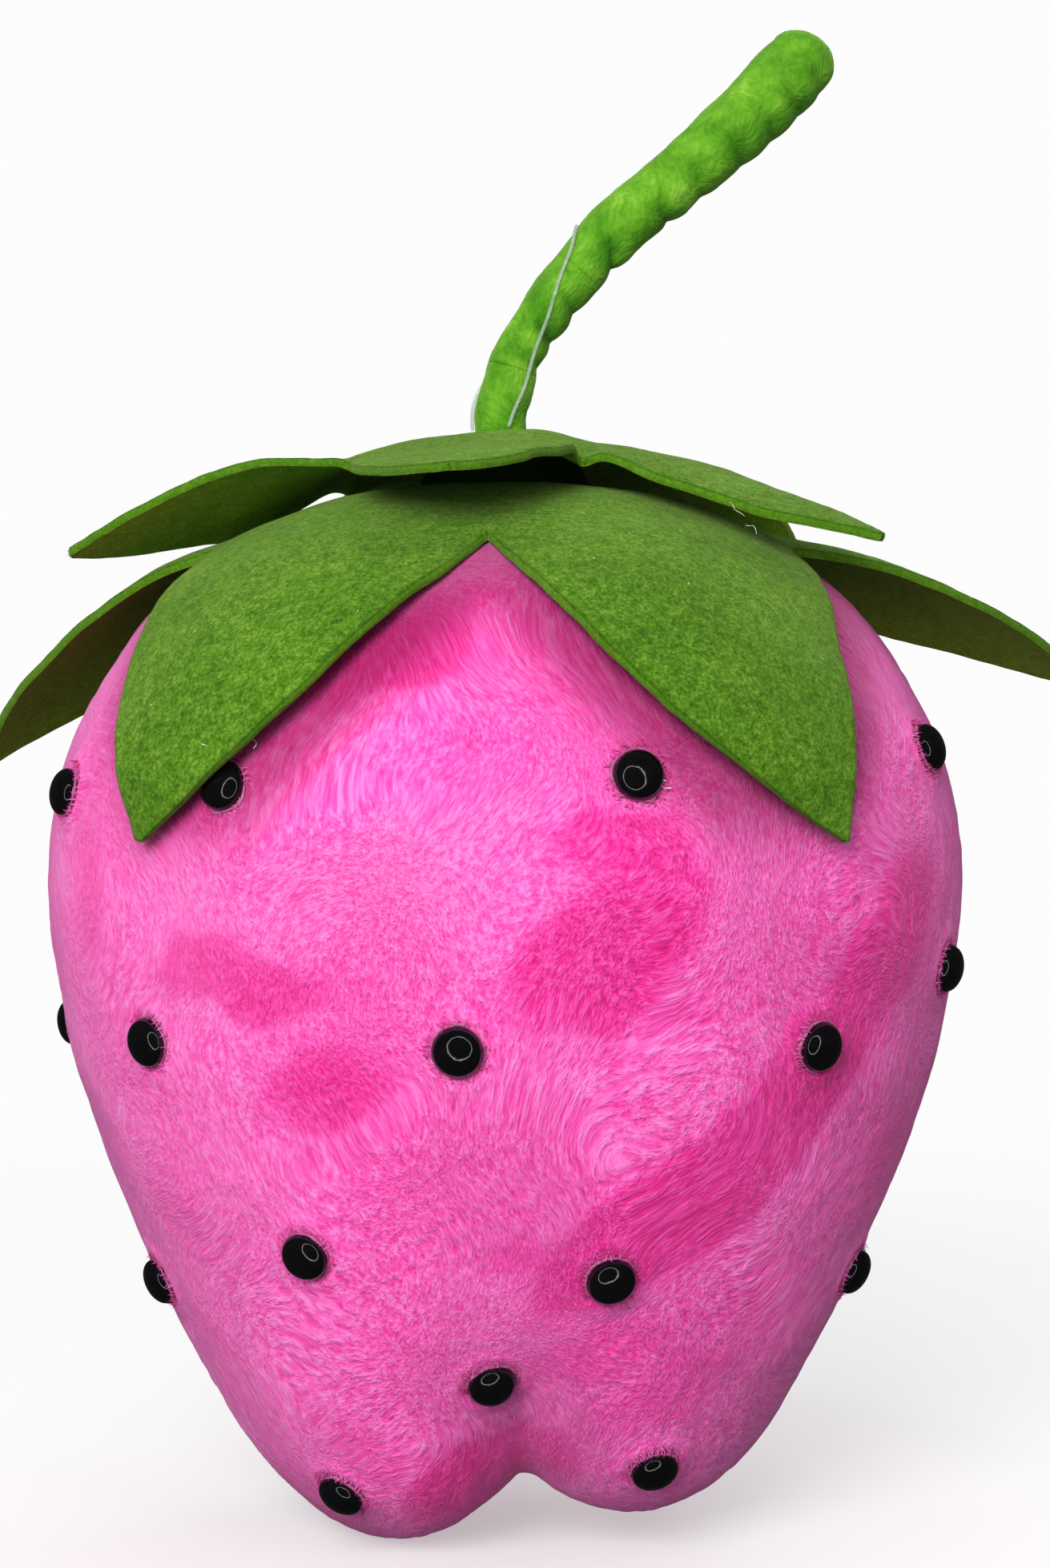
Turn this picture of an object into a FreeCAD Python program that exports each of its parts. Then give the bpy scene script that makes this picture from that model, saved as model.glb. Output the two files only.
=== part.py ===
"""Strawberry pincushion: a stuffed plush fruit with a two-layer felt calyx, a
bendable wired stem, a clear hanging loop and glued half-round seed beads.

Frame: millimetres, +Z up, the fruit's axis is the Z axis, it rests on Z = 0
and its front looks along -Y, with its left toward -X. Azimuths are degrees
from the front, positive toward +X."""
import math
import os

import FreeCAD
import Part

os.makedirs("parts", exist_ok=True)
Vector = FreeCAD.Vector
ORIGIN = Vector(0, 0, 0)
UP = Vector(0, 0, 1)

# ------------------------------------------------------- shared dimensions
PLUSH_T = 2.4            # plush cloth with its pile
CORE_INSET = 0.90        # cloth's inner face to the stuffing, room for the seam threads
BORE_R = 1.6             # bore on the axis through the stuffing and the glue
FELT_T = 1.2             # felt thickness
WIRE_R = 0.8             # stem wire
CHANNEL_R = WIRE_R + 0.15
CHANNEL_L = 30.0
STEM_X = -0.6            # place of the stem's foot
LOOP_R = 0.25            # clear strand


# ----------------------------------------------------------------- helpers
def smooth(t):
    """Ease from 0 to 1 as t goes from 0 to 1."""
    t = max(0.0, min(1.0, t))
    return t * t * (3 - 2 * t)


def table_value(table, x):
    """Linear value at x in a table of (x, value), held level past its ends."""
    if x <= table[0][0]:
        return table[0][1]
    for (x0, value0), (x1, value1) in zip(table, table[1:]):
        if x <= x1:
            return value0 + (value1 - value0) * (x - x0) / (x1 - x0)
    return table[-1][1]


def spline(points, **options):
    curve = Part.BSplineCurve()
    curve.interpolate(points, **options)
    return curve


def curve_at(curve, distance):
    """Point and unit tangent at a distance along a curve."""
    u = curve.parameterAtDistance(distance, curve.FirstParameter)
    tangent = curve.tangent(u)[0]
    tangent.normalize()
    return curve.value(u), tangent


def pipe(points, radius):
    """Round strand along a spline through the points."""
    curve = spline(points)
    start = curve.value(curve.FirstParameter)
    tangent = curve.tangent(curve.FirstParameter)[0]
    section = Part.Wire([Part.makeCircle(radius, start, tangent)])
    return Part.Wire([curve.toShape()]).makePipeShell([section], True, False)


def polygon_face(points):
    return Part.Face(Part.makePolygon(points + [points[0]]))


def turned(outline):
    """Solid of revolution from a closed (radius, height) outline."""
    points = [Vector(radius, 0, z) for radius, z in outline]
    return polygon_face(points).revolve(ORIGIN, UP, 360)


def wire_channel(bottom):
    """Cutter for the stem's anchor wire."""
    return Part.makeCylinder(CHANNEL_R, CHANNEL_L, Vector(STEM_X, 0, bottom))


def box_below(height):
    """Cutter that takes away the 20 mm below a height."""
    return Part.makeBox(200, 200, 20, Vector(-100, -100, height - 20))


def repaired(shape):
    if not shape.isValid():
        shape = shape.copy()
        shape.fix(1e-4, 1e-4, 1e-3)
    return shape


def save(name, shape):
    shape = repaired(shape)
    shape.exportStep("parts/%s.step" % name)
    return shape


# ----------------------------------------------------------- fruit surface
# outer profile of the fruit, (radius, height), from the top gather to the dimple
PROFILE = [
    (3.2, 127.6), (3.9, 130.6), (7.0, 133.2), (13.0, 134.4), (20.0, 133.8),
    (28.0, 131.5), (36.0, 128.0), (43.0, 123.3), (48.6, 117.5), (52.9, 111.0),
    (56.6, 103.7), (58.8, 96.0), (59.7, 87.0), (59.3, 78.0), (57.9, 70.0),
    (56.4, 62.6), (54.0, 55.0), (51.4, 47.6), (48.2, 40.0), (44.0, 30.5),
    (39.4, 21.6), (35.0, 14.0), (30.6, 8.2), (25.5, 3.3), (20.8, 0.2),
    (16.2, -1.2), (11.6, 0.1), (7.5, 3.4), (4.3, 8.0), (2.9, 13.0),
]
ROWS = 44                # steps down the profile
COLUMNS = 26             # steps round half of the fruit
FINE_STEPS = 800         # steps down the profile for looking up heights and radii

CLEFT_X = 1.94           # the cleft under the fruit parts a left lobe from a right one
CLEFT_H = 10.5
CLEFT_LEFT = (9.36, 1.36)     # reach and sharpness of its left flank
CLEFT_RIGHT = (12.05, 1.46)   # and of its right one
CLEFT_FADE = (6.0, 34.0)      # height where the lift starts to fade, and over how much
DIMPLE_LIFT = 9.0        # lift of the gathered dimple in the middle
DIMPLE_R = 7.5           # radius where the dimple's lift sets in
DIMPLE_BLEND = 4.0       # and over how much it takes over from the cleft's
DENT_LIFT = 2.05         # shallow dent under the right lobe
DENT_X, DENT_Y = 12.0, -4.0
DENT_SPREAD_X, DENT_SPREAD_Y = 276.0, 220.0   # squared lengths of its falloff
DENT_FADE = (2.0, 14.0)  # height where it starts to fade, and over how much


def sample_profile(steps):
    """(radius, height, outward normal r, outward normal z) along the profile."""
    curve = spline([Vector(radius, 0, z) for radius, z in PROFILE])
    first, last = curve.FirstParameter, curve.LastParameter
    samples = []
    for i in range(steps + 1):
        u = first + (last - first) * i / steps
        point, tangent = curve.value(u), curve.tangent(u)[0]
        samples.append((point.x, point.z, -tangent.z, tangent.x))
    return samples


FINE = sample_profile(FINE_STEPS)
STATIONS = sample_profile(ROWS)
# at both gathers the cloth faces straight at the axis
for i in (0, ROWS):
    STATIONS[i] = STATIONS[i][:2] + (-1.0, 0.0)


def top_height(radius, offset):
    """Height of the fruit's top dome at a radius, pushed out by offset."""
    line = [(r + normal_r * offset, z + normal_z * offset)
            for r, z, normal_r, normal_z in FINE]
    for (r0, z0), (r1, z1) in zip(line, line[1:]):
        if r0 <= radius <= r1 and z0 > 60:
            return z0 + (z1 - z0) * (radius - r0) / (r1 - r0)


def side_at(z):
    """Largest radius of the fruit at height z, and the outward normal there."""
    best = (0, 0, 0)
    for a, b in zip(FINE, FINE[1:]):
        if min(a[1], b[1]) <= z <= max(a[1], b[1]) and a[1] != b[1]:
            k = (z - a[1]) / (b[1] - a[1])
            radius = a[0] + (b[0] - a[0]) * k
            if radius > best[0]:
                best = (radius, a[2] + (b[2] - a[2]) * k, a[3] + (b[3] - a[3]) * k)
    return best


def fade(z, start, span):
    return 1 - smooth((z - start) / span)


def underside_lift(x, y, z, radius):
    """Lift of the underside by the cleft, the dimple and the dent."""
    reach, sharpness = CLEFT_LEFT if x < CLEFT_X else CLEFT_RIGHT
    cleft = CLEFT_H * math.exp(-(abs(x - CLEFT_X) / reach) ** sharpness)
    blend = smooth((DIMPLE_R - radius) / DIMPLE_BLEND)
    middle = cleft * (1 - blend) + DIMPLE_LIFT * blend
    dent = DENT_LIFT * math.exp(-((x - DENT_X) ** 2 / DENT_SPREAD_X)
                                - ((y - DENT_Y) ** 2 / DENT_SPREAD_Y))
    return middle * fade(z, *CLEFT_FADE) + dent * fade(z, *DENT_FADE) * (1 - blend)


def ring_point(row, offset, angle):
    """Point of a profile row, offset from the outer face, at an angle from +X."""
    radius, z, normal_r, normal_z = STATIONS[row]
    cos, sin = math.cos(angle), math.sin(angle)
    # the lift is taken at the outer face, so cloth and stuffing move together
    lift = underside_lift(radius * cos, radius * sin, z, radius)
    inner = radius + normal_r * offset
    return Vector(inner * cos, inner * sin, z + normal_z * offset + lift)


# ------------------------------------------------------------ plush panels
SEAM_GAP = 0.05          # half the gap between the two sewn panels
COLUMN_SHIFT = 0.06      # how unevenly the columns are spaced


def half_surface(offset, front):
    """Surface over one half of the fruit, offset from its outer face."""
    side = -1 if front else 1
    rows = []
    for k in range(ROWS + 1):
        row = []
        for i in range(COLUMNS + 1):
            f = i / COLUMNS
            f = f - COLUMN_SHIFT * math.sin(4 * math.pi * f) / math.pi
            angle = side * math.pi * f
            point = ring_point(k, offset, angle)
            # the cloth stops short of the seam plane
            y = point.y + side * SEAM_GAP * (1 - abs(math.sin(angle)))
            row.append(Vector(point.x, y, point.z))
        rows.append(row)
    surface = Part.BSplineSurface()
    surface.interpolate(rows)
    return surface


def rim_curves(surface):
    """Top and bottom rims, then the two seam edges."""
    u0, u1, v0, v1 = surface.bounds()
    return surface.uIso(u0), surface.uIso(u1), surface.vIso(v0), surface.vIso(v1)


def body_panel(front):
    outer, inner = half_surface(0.0, front), half_surface(-PLUSH_T, front)
    faces = [outer.toShape(), inner.toShape()]
    for a, b in zip(rim_curves(outer), rim_curves(inner)):
        faces.append(Part.makeRuledSurface(a.toShape(), b.toShape()))
    shell = Part.makeShell(faces)
    shell.sewShape()
    solid = Part.Solid(shell)
    if solid.Volume < 0:
        solid.reverse()
    return solid.cut(box_below(0))


front_panel = save("front_body_panel", body_panel(True))
back_panel = save("back_body_panel", body_panel(False))

# ----------------------------------------------------------- stuffing core
CORE_COLUMNS = 36
CORE_MIN_R = 1.0         # rows that come nearer to the axis are left out
RELIEF = 1.3             # extra inset beside the cleft
RELIEF_REACH = 4.5
RELIEF_FADE = (14.0, 26.0)    # height where it starts to fade, and over how much
RELIEF_MIN_R = 9.0       # rows inside this radius have none
CORE_CHANNEL_Z = 115.0


def core_ring(row, offset):
    points = []
    for i in range(CORE_COLUMNS):
        angle = 2 * math.pi * i / CORE_COLUMNS
        point = ring_point(row, offset, angle)
        if STATIONS[row][0] > RELIEF_MIN_R:
            # it stands further off beside the cleft, where the cloth turns sharply
            relief = RELIEF * math.exp(-((point.x - CLEFT_X) / RELIEF_REACH) ** 2)
            relief *= fade(point.z, *RELIEF_FADE)
            point = ring_point(row, offset - relief, angle)
        points.append(point)
    return Part.Wire([spline(points, PeriodicFlag=True).toShape()])


def filling_core():
    offset = -(PLUSH_T + CORE_INSET)
    rings = [core_ring(k, offset) for k, station in enumerate(STATIONS)
             if station[0] + station[2] * offset >= CORE_MIN_R]
    core = Part.makeLoft(rings, True, False)
    core = core.cut(Part.makeCylinder(BORE_R, 160, ORIGIN, UP))
    core = repaired(core.cut(box_below(PLUSH_T + CORE_INSET)))
    return core.cut(wire_channel(CORE_CHANNEL_Z))


save("filling_core", filling_core())

# ----------------------------------------------------------------- threads
SEAM_THREAD_R = 0.22
GATHER_R = 0.45          # gathering thread, doubled
TOP_GATHER_RING_R = 2.6
BOTTOM_GATHER_RING_R = 2.3
TIE_R = 0.35
TIE_X = 0.75
TOP_Z = PROFILE[0][1]
BOTTOM_Z = ring_point(ROWS, 0.0, 0.0).z + 0.5


def seam_thread(angle):
    """Thread down the side, midway between cloth and stuffing."""
    points = []
    for k in range(4, ROWS - 6):
        point = ring_point(k, -(PLUSH_T + CORE_INSET * 0.5), angle)
        points.append(Vector(point.x, 0, point.z))
    return pipe(points, SEAM_THREAD_R)


def gather_thread(ring_radius, z):
    return Part.makeTorus(ring_radius, GATHER_R, Vector(0, 0, z))


def tie_thread():
    bottom = BOTTOM_Z + 0.5
    return Part.makeCylinder(TIE_R, TOP_Z - bottom, Vector(TIE_X, 0, bottom))


save("right_side_seam_thread", seam_thread(0.0))
save("left_side_seam_thread", seam_thread(math.pi))
save("top_gather_thread", gather_thread(TOP_GATHER_RING_R, TOP_Z + 0.8))
save("bottom_gather_thread", gather_thread(BOTTOM_GATHER_RING_R, BOTTOM_Z - 1.2))
save("dimple_tie_thread", tie_thread())

# ------------------------------------------------------------- calyx layers
HINGE_GAP = 0.20         # gap at a leaf's root
HUB_BORE_R = 3.0
HALF_SECTOR = math.radians(36)    # half of one of the five sectors of a star

LOW_NOTCH_R = 38.6       # lower felt star: radius of the notches between its leaves
LOW_APOTHEM = LOW_NOTCH_R * math.cos(HALF_SECTOR)
LOW_AZIMUTH = -2.7       # the notch between its two front leaves
LOW_FELT_Z = 134.8       # its underside over the gather
LOW_FLAT_R = 14.0        # it lies flat out to this radius
LOW_FELT_LIFT = 0.38     # and stands this far off the fruit beyond it

UP_NOTCH_R = 24.0        # upper felt star
UP_APOTHEM = UP_NOTCH_R * math.cos(HALF_SECTOR)
UP_AZIMUTH = -13.0       # its front leaf
# its underside, (radius, height): it is pushed up round the stem by the glue under it
UP_LINE = [
    (2.5, 141.8), (6.0, 141.9), (10.0, 141.8), (15.0, 141.4),
    (19.4, 140.4), (22.0, 139.4), (24.2, 137.9), (26.0, 136.8),
]
TILT = 2.6               # the upper star leans down to the left by this angle
TILT_CENTRE = Vector(STEM_X, 0, 140.0)


def low_bottom(radius):
    """Height of the lower felt layer's underside."""
    if radius <= LOW_FLAT_R:
        return LOW_FELT_Z
    return min(LOW_FELT_Z, top_height(radius, LOW_FELT_LIFT))


def up_bottom(radius):
    """Height of the upper felt layer's underside, before its tilt."""
    return table_value(UP_LINE, radius)


def tilt(shape):
    shape.rotate(TILT_CENTRE, Vector(0, 1, 0), -TILT)
    return shape


# ---------------------------------------------------------------- calyx glue
# outline of the hot glue that fills the top gather's dip, (radius, height)
PAD_OUTLINE = [
    (BORE_R, 131.9), (4.4, 132.2), (7.0, 133.5),
    (10.0, 134.25), (10.0, 134.6), (BORE_R, 134.6),
]
PAD_CHANNEL_Z = 119.0
MOUND_R = 9.0            # shoulder of the glue mound between the two felt layers
MOUND_Z = LOW_FELT_Z + FELT_T + 0.1


def glue_pad():
    pad = repaired(turned(PAD_OUTLINE).cut(front_panel).cut(back_panel))
    return pad.cut(wire_channel(PAD_CHANNEL_Z))


def glue_mound():
    """Mound that holds the stem's foot."""
    return turned([
        (BORE_R, MOUND_Z),
        (MOUND_R + 3, MOUND_Z),
        (MOUND_R, up_bottom(MOUND_R) - 0.65),
        (6.0, up_bottom(6.0) - 0.5),
        (BORE_R, up_bottom(2.5) - 0.35),
    ])


save("calyx_glue_pad", glue_pad())
save("stem_glue_mound", glue_mound())


# ---------------------------------------------------------------- calyx hubs
def calyx_hub(bottom, notch_radius, apothem, azimuth):
    """A pentagon cut from a domed felt disc; azimuth is the middle of one side."""
    steps = 14
    radii = [HUB_BORE_R + (notch_radius - HUB_BORE_R) * i / steps for i in range(steps + 1)]
    lower = [Vector(radius, 0, bottom(radius)) for radius in radii]
    upper = [Vector(radius, 0, bottom(radius) + FELT_T) for radius in radii]
    section = Part.Wire([
        spline(lower).toShape(),
        Part.makeLine(lower[-1], upper[-1]),
        spline(upper).toShape(),
        Part.makeLine(upper[0], lower[0]),
    ])
    disc = Part.Face(section).revolve(ORIGIN, UP, 360)
    corner_r = (apothem - HINGE_GAP) / math.cos(HALF_SECTOR)
    corners = []
    for k in range(5):
        angle = math.radians(azimuth + 36 + 72 * k)
        corners.append(Vector(corner_r * math.sin(angle), -corner_r * math.cos(angle), 100))
    return disc.common(polygon_face(corners).extrude(Vector(0, 0, 60)))


save("lower_calyx_hub", calyx_hub(low_bottom, LOW_NOTCH_R, LOW_APOTHEM, LOW_AZIMUTH + 36))
save("upper_calyx_hub", tilt(calyx_hub(up_bottom, UP_NOTCH_R, UP_APOTHEM, UP_AZIMUTH)))

# -------------------------------------------------------------- calyx leaves
LEAF_STEPS = 12
ACROSS = [-1, -0.6, -0.2, 0.2, 0.6, 1]    # places across a leaf, in half widths

# half widths of the leaves, (fraction of the length, half width)
LOW_WIDTHS = [
    (0.0, 22.5), (0.15, 22.3), (0.4, 19.5), (0.69, 13.4), (0.85, 7.8), (0.95, 3.3), (1.0, 0.9),
]
UP_WIDTHS = [
    (0.0, 13.9), (0.15, 13.0), (0.4, 10.6), (0.69, 7.4), (0.85, 4.7), (0.95, 2.2), (1.0, 0.8),
]
UP_FRONT_WIDTHS = [
    (0.0, 13.9), (0.15, 13.9), (0.4, 12.9), (0.69, 9.4), (0.85, 6.0), (0.95, 2.8), (1.0, 0.8),
]


def leaf(bottom, apothem, azimuth, line, widths, edge_radius,
         bow=0.0, swing=0.0, roll=0.0, swell=0.0):
    """One felt leaf. line: centre line of its underside as (radius, height) after the
    root; widths: (fraction, half width); edge_radius: its rounding across, edges down;
    bow: how far its edges curl up; swing: how far its tip goes sideways; roll: its twist,
    in degrees; swell: how far it goes sideways on its way. Sideways is toward a higher
    azimuth."""
    root = apothem + HINGE_GAP
    curve = spline([Vector(root, 0, bottom(root))] + [Vector(radius, 0, z) for radius, z in line])
    length = curve.length()
    sections = []
    for i in range(LEAF_STEPS + 1):
        s = i / LEAF_STEPS
        centre, tangent = curve_at(curve, length * s)
        half_width = table_value(widths, s)
        sideways = swing * s ** 2 + swell * 6.75 * s * s * (1 - s)
        # the felt's thickness is upright at the root, then square to the centre line
        turn = smooth(s / 0.35)
        normal = Vector(-tangent.z, 0, tangent.x)
        normal = UP * (1 - turn) + normal * turn
        normal.normalize()

        def point(f, lift):
            y = half_width * f
            if i == 0:
                return Vector(centre.x, y + sideways, bottom(math.hypot(root, y)) + lift)
            curl = bow * f ** 2 * smooth(s * 3) * min(1.0, half_width / 8.0)
            place = centre + normal * (curl - y * y / (2 * edge_radius) + lift)
            rise = math.tan(math.radians(roll)) * y * smooth(s * 2.2)
            return Vector(place.x, y + sideways, place.z + rise)

        lower = [point(f, 0) for f in ACROSS]
        upper = [point(f, FELT_T) for f in ACROSS]
        sections.append(Part.Wire([
            spline(lower).toShape(),
            Part.makeLine(lower[-1], upper[-1]),
            spline(upper[::-1]).toShape(),
            Part.makeLine(upper[0], lower[0]),
        ]))
    solid = Part.makeLoft(sections, True, False)
    # local +X is the leaf's direction: turn it so that azimuth 0 is -Y
    solid.rotate(ORIGIN, UP, azimuth - 90)
    return solid


def drape(places):
    """Leaf line that stands off the fruit's side, from (height, distance off)."""
    line = []
    for z, distance in places:
        radius, normal_r, normal_z = side_at(z)
        line.append((radius + normal_r * distance, z + normal_z * distance))
    return line


FRONT_LINE = drape([
    (123.0, 1.2), (118.0, 2.0), (112.0, 2.8), (105.0, 3.3), (98.0, 3.2), (91.0, 1.6),
])
BACK_LINE = drape([(123.0, 1.3), (118.0, 2.2), (112.0, 3.2), (106.0, 4.2), (100.0, 5.0)])
LEFT_LINE = [(40.0, 128.0), (50.0, 122.8), (59.0, 116.6), (68.0, 109.4), (77.5, 100.4)]
RIGHT_LINE = [(43.0, 128.2), (52.0, 125.0), (62.0, 121.0), (73.0, 116.2), (84.0, 110.6)]

# each leaf's turn is its azimuth from that of its star
LOWER_LEAVES = {
    "front_left": dict(turn=-36, line=FRONT_LINE, edge_radius=62.0, swing=-5.2, swell=3.4),
    "front_right": dict(turn=36, line=FRONT_LINE, edge_radius=62.0, swing=7.2, swell=-5.8),
    "left": dict(turn=-108, line=LEFT_LINE, edge_radius=66.0, roll=0.8),
    "right": dict(turn=108, line=RIGHT_LINE, edge_radius=74.0, roll=-2.6),
    "back": dict(turn=180, line=BACK_LINE, edge_radius=62.0, swing=2.0),
}
UPPER_LEAVES = {
    "front": dict(
        turn=0, line=[(27.0, 138.4), (35.0, 136.3), (42.0, 134.6), (48.5, 133.2)],
        widths=UP_FRONT_WIDTHS, edge_radius=400.0, bow=-0.4, swing=4.6, roll=1.0),
    "left": dict(
        turn=-72, line=[(27.0, 138.0), (36.0, 135.8), (47.0, 133.3), (57.4, 130.0)],
        widths=UP_WIDTHS, edge_radius=200.0, bow=0.2, roll=14.0),
    "right": dict(
        turn=72, line=[(28.0, 137.6), (36.0, 134.4), (44.0, 131.0), (53.5, 126.8)],
        widths=UP_WIDTHS, edge_radius=200.0, bow=-1.0, roll=8.0),
    "back_left": dict(
        turn=-144, line=[(28.0, 137.8), (38.0, 135.2), (47.0, 132.4), (55.0, 129.2)],
        widths=UP_WIDTHS, edge_radius=200.0, bow=0.6, roll=4.0),
    "back_right": dict(
        turn=144, line=[(28.0, 137.6), (38.0, 134.6), (47.0, 131.2), (55.0, 127.6)],
        widths=UP_WIDTHS, edge_radius=200.0, bow=1.0, roll=-5.0),
}

for name, form in LOWER_LEAVES.items():
    azimuth = LOW_AZIMUTH + form.pop("turn")
    save("lower_leaf_" + name,
         leaf(low_bottom, LOW_APOTHEM, azimuth, widths=LOW_WIDTHS, **form))
for name, form in UPPER_LEAVES.items():
    azimuth = UP_AZIMUTH + form.pop("turn")
    save("upper_leaf_" + name, tilt(leaf(up_bottom, UP_APOTHEM, azimuth, **form)))

# -------------------------------------------------------------------- stem
# centre line in the XZ plane, (x, z)
STEM_LINE = [
    (STEM_X, 143.3), (STEM_X, 144.8), (STEM_X, 146.5), (0.1, 149.5), (1.0, 152.7),
    (2.4, 155.9), (4.5, 159.0), (6.9, 162.2), (9.5, 165.4), (12.4, 168.6), (15.6, 171.8),
    (19.2, 175.0), (23.0, 178.1), (26.8, 181.3), (30.6, 184.5), (33.9, 187.7),
    (36.8, 190.7), (38.9, 193.0),
]
# (height, radius)
STEM_RADII = [
    (143.3, 3.35), (149.5, 3.4), (159.0, 3.4), (165.4, 3.6), (171.8, 3.9), (178.0, 4.2),
    (184.5, 4.55), (190.7, 4.65), (193.0, 4.6),
]
BALL_INSET = 0.06        # joint ball below the stem's radius
BALL_GAP = 0.12          # between a ball and its socket
TIP_INSET = 0.04         # tip dome below the stem's radius
WIRE_BORE_R = 1.1
BORE_END = 2.0           # the wire bore stops this far before the stem's end
WIRE_END = 2.6           # and the wire this far
WIRE_START = 0.5         # a wire starts this far above its ball's lowest point
WIRE_STOP = 0.3          # and stops this far below the next ball
ANCHOR_Z = 116.8
ANCHOR_L = 26.6
COLLAR_RING_R, COLLAR_R, COLLAR_Z = 4.15, 0.6, 143.95

stem_curve = spline([Vector(x, 0, z) for x, z in STEM_LINE])
stem_length = stem_curve.length()


def stem_distance(z):
    """Distance along the stem to height z."""
    low, high = stem_curve.FirstParameter, stem_curve.LastParameter
    for _ in range(60):
        middle = (low + high) / 2
        if stem_curve.value(middle).z < z:
            low = middle
        else:
            high = middle
    return stem_curve.length(stem_curve.FirstParameter, (low + high) / 2)


def stem_radius(z):
    return table_value(STEM_RADII, z)


def stem_tube(start, end, radius=None, steps=8):
    """Solid along the stem between two distances, of the stem's radius if none is given."""
    wires = []
    for i in range(steps + 1):
        centre, tangent = curve_at(stem_curve, start + (end - start) * i / steps)
        circle = Part.makeCircle(radius or stem_radius(centre.z), centre, tangent)
        wires.append(Part.Wire([circle]))
    return Part.makeLoft(wires, True, False)


def joint(z, rim_drop):
    """Ball joint at height z; its socket's rim stops rim_drop below its centre."""
    distance = stem_distance(z)
    return dict(at=distance, centre=curve_at(stem_curve, distance)[0],
                radius=stem_radius(z) - BALL_INSET, rim_drop=rim_drop)


side_joint = joint(147.4, rim_drop=1.2)     # the sideways bend
low_joint = joint(159.0, rim_drop=1.7)      # the lower in-plane bend
up_joint = joint(171.8, rim_drop=2.6)       # the upper in-plane bend
wire_bore = stem_tube(0.0, stem_length - BORE_END, WIRE_BORE_R, 36)


def ball(at_joint, gap=0.0):
    return Part.makeSphere(at_joint["radius"] + gap, at_joint["centre"])


def stem_cover(lower, upper):
    """Cover with a ball at its lower joint, if any, and a socket at its upper one."""
    start = lower["at"] if lower else 0.0
    cover = stem_tube(start, upper["at"] - upper["rim_drop"])
    if lower:
        cover = cover.fuse(ball(lower))
    return cover.cut(ball(upper, BALL_GAP)).cut(wire_bore)


def tip_cover():
    tip = curve_at(stem_curve, stem_length)[0]
    dome = Part.makeSphere(STEM_RADII[-1][1] - TIP_INSET, tip)
    cover = stem_tube(up_joint["at"], stem_length)
    return cover.fuse(dome).fuse(ball(up_joint)).cut(wire_bore)


def wire_start(at_joint):
    return at_joint["at"] - at_joint["radius"] + WIRE_START


def stem_wire(lower, upper):
    end = upper["at"] - upper["radius"] - WIRE_STOP
    return stem_tube(wire_start(lower), end, WIRE_R, 14)


save("stem_base_cover", stem_cover(None, side_joint))
save("stem_lower_cover", stem_cover(side_joint, low_joint))
save("stem_middle_cover", stem_cover(low_joint, up_joint))
save("stem_tip_cover", tip_cover())
save("stem_anchor_wire", Part.makeCylinder(WIRE_R, ANCHOR_L, Vector(STEM_X, 0, ANCHOR_Z)))
save("stem_lower_wire", stem_wire(side_joint, low_joint))
save("stem_middle_wire", stem_wire(low_joint, up_joint))
save("stem_tip_wire", stem_tube(wire_start(up_joint), stem_length - WIRE_END, WIRE_R, 18))
save("stem_glue_collar",
     Part.makeTorus(COLLAR_RING_R, COLLAR_R, Vector(STEM_X, 0, COLLAR_Z)))

# ------------------------------------------------------------ hanging loop
LOOP_GAP = 0.35          # between the strand and the stem
LOOP_MARGIN = 3.2        # strand ends to the joints' centres
LOOP_TOP_MARGIN = 3.6    # top of the upper loop to the upper joint's centre
FRONT_ANGLES = [5, 0, 0, 5]
BACK_ANGLES = [110, 120, 140, 155]


def beside_stem(distance, angle):
    """A point beside the stem: angle 0 is its front, 90 its upper left side, 180 its back."""
    centre, tangent = curve_at(stem_curve, distance)
    left = Vector(-tangent.z, 0, tangent.x)
    front = Vector(0, -1, 0)
    reach = stem_radius(centre.z) + LOOP_R + LOOP_GAP
    a = math.radians(angle)
    return centre + front * (reach * math.cos(a)) + left * (reach * math.sin(a))


def lower_strand(angles):
    start = side_joint["at"] + LOOP_MARGIN
    span = low_joint["at"] - side_joint["at"] - 2 * LOOP_MARGIN
    points = [beside_stem(start + span * i / 3.0, angle) for i, angle in enumerate(angles)]
    return pipe(points, LOOP_R)


def upper_loop():
    """Up the front, round the upper left side near the top, down the back."""
    start = low_joint["at"] + LOOP_MARGIN
    rise = up_joint["at"] - LOOP_TOP_MARGIN - start
    points = []
    for i in range(9):
        f = i / 8.0
        points.append(beside_stem(start + rise * math.sin(math.pi * f), 10 + 155 * smooth(f)))
    return pipe(points, LOOP_R)


save("hanging_loop_lower",
     Part.makeCompound([lower_strand(FRONT_ANGLES), lower_strand(BACK_ANGLES)]))
save("hanging_loop_upper", upper_loop())

# -------------------------------------------------------------- seed beads
BEAD_R = 3.0             # half-round seed bead
BEAD_H = 2.4
BEAD_RIM = 0.45          # short straight rim under its cap
BEAD_LIFT = 0.42         # flat back of the bead above the pile
GLUE_R = 3.25
GLUE_T = 0.20
GLUE_LIFT = 0.18

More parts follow.
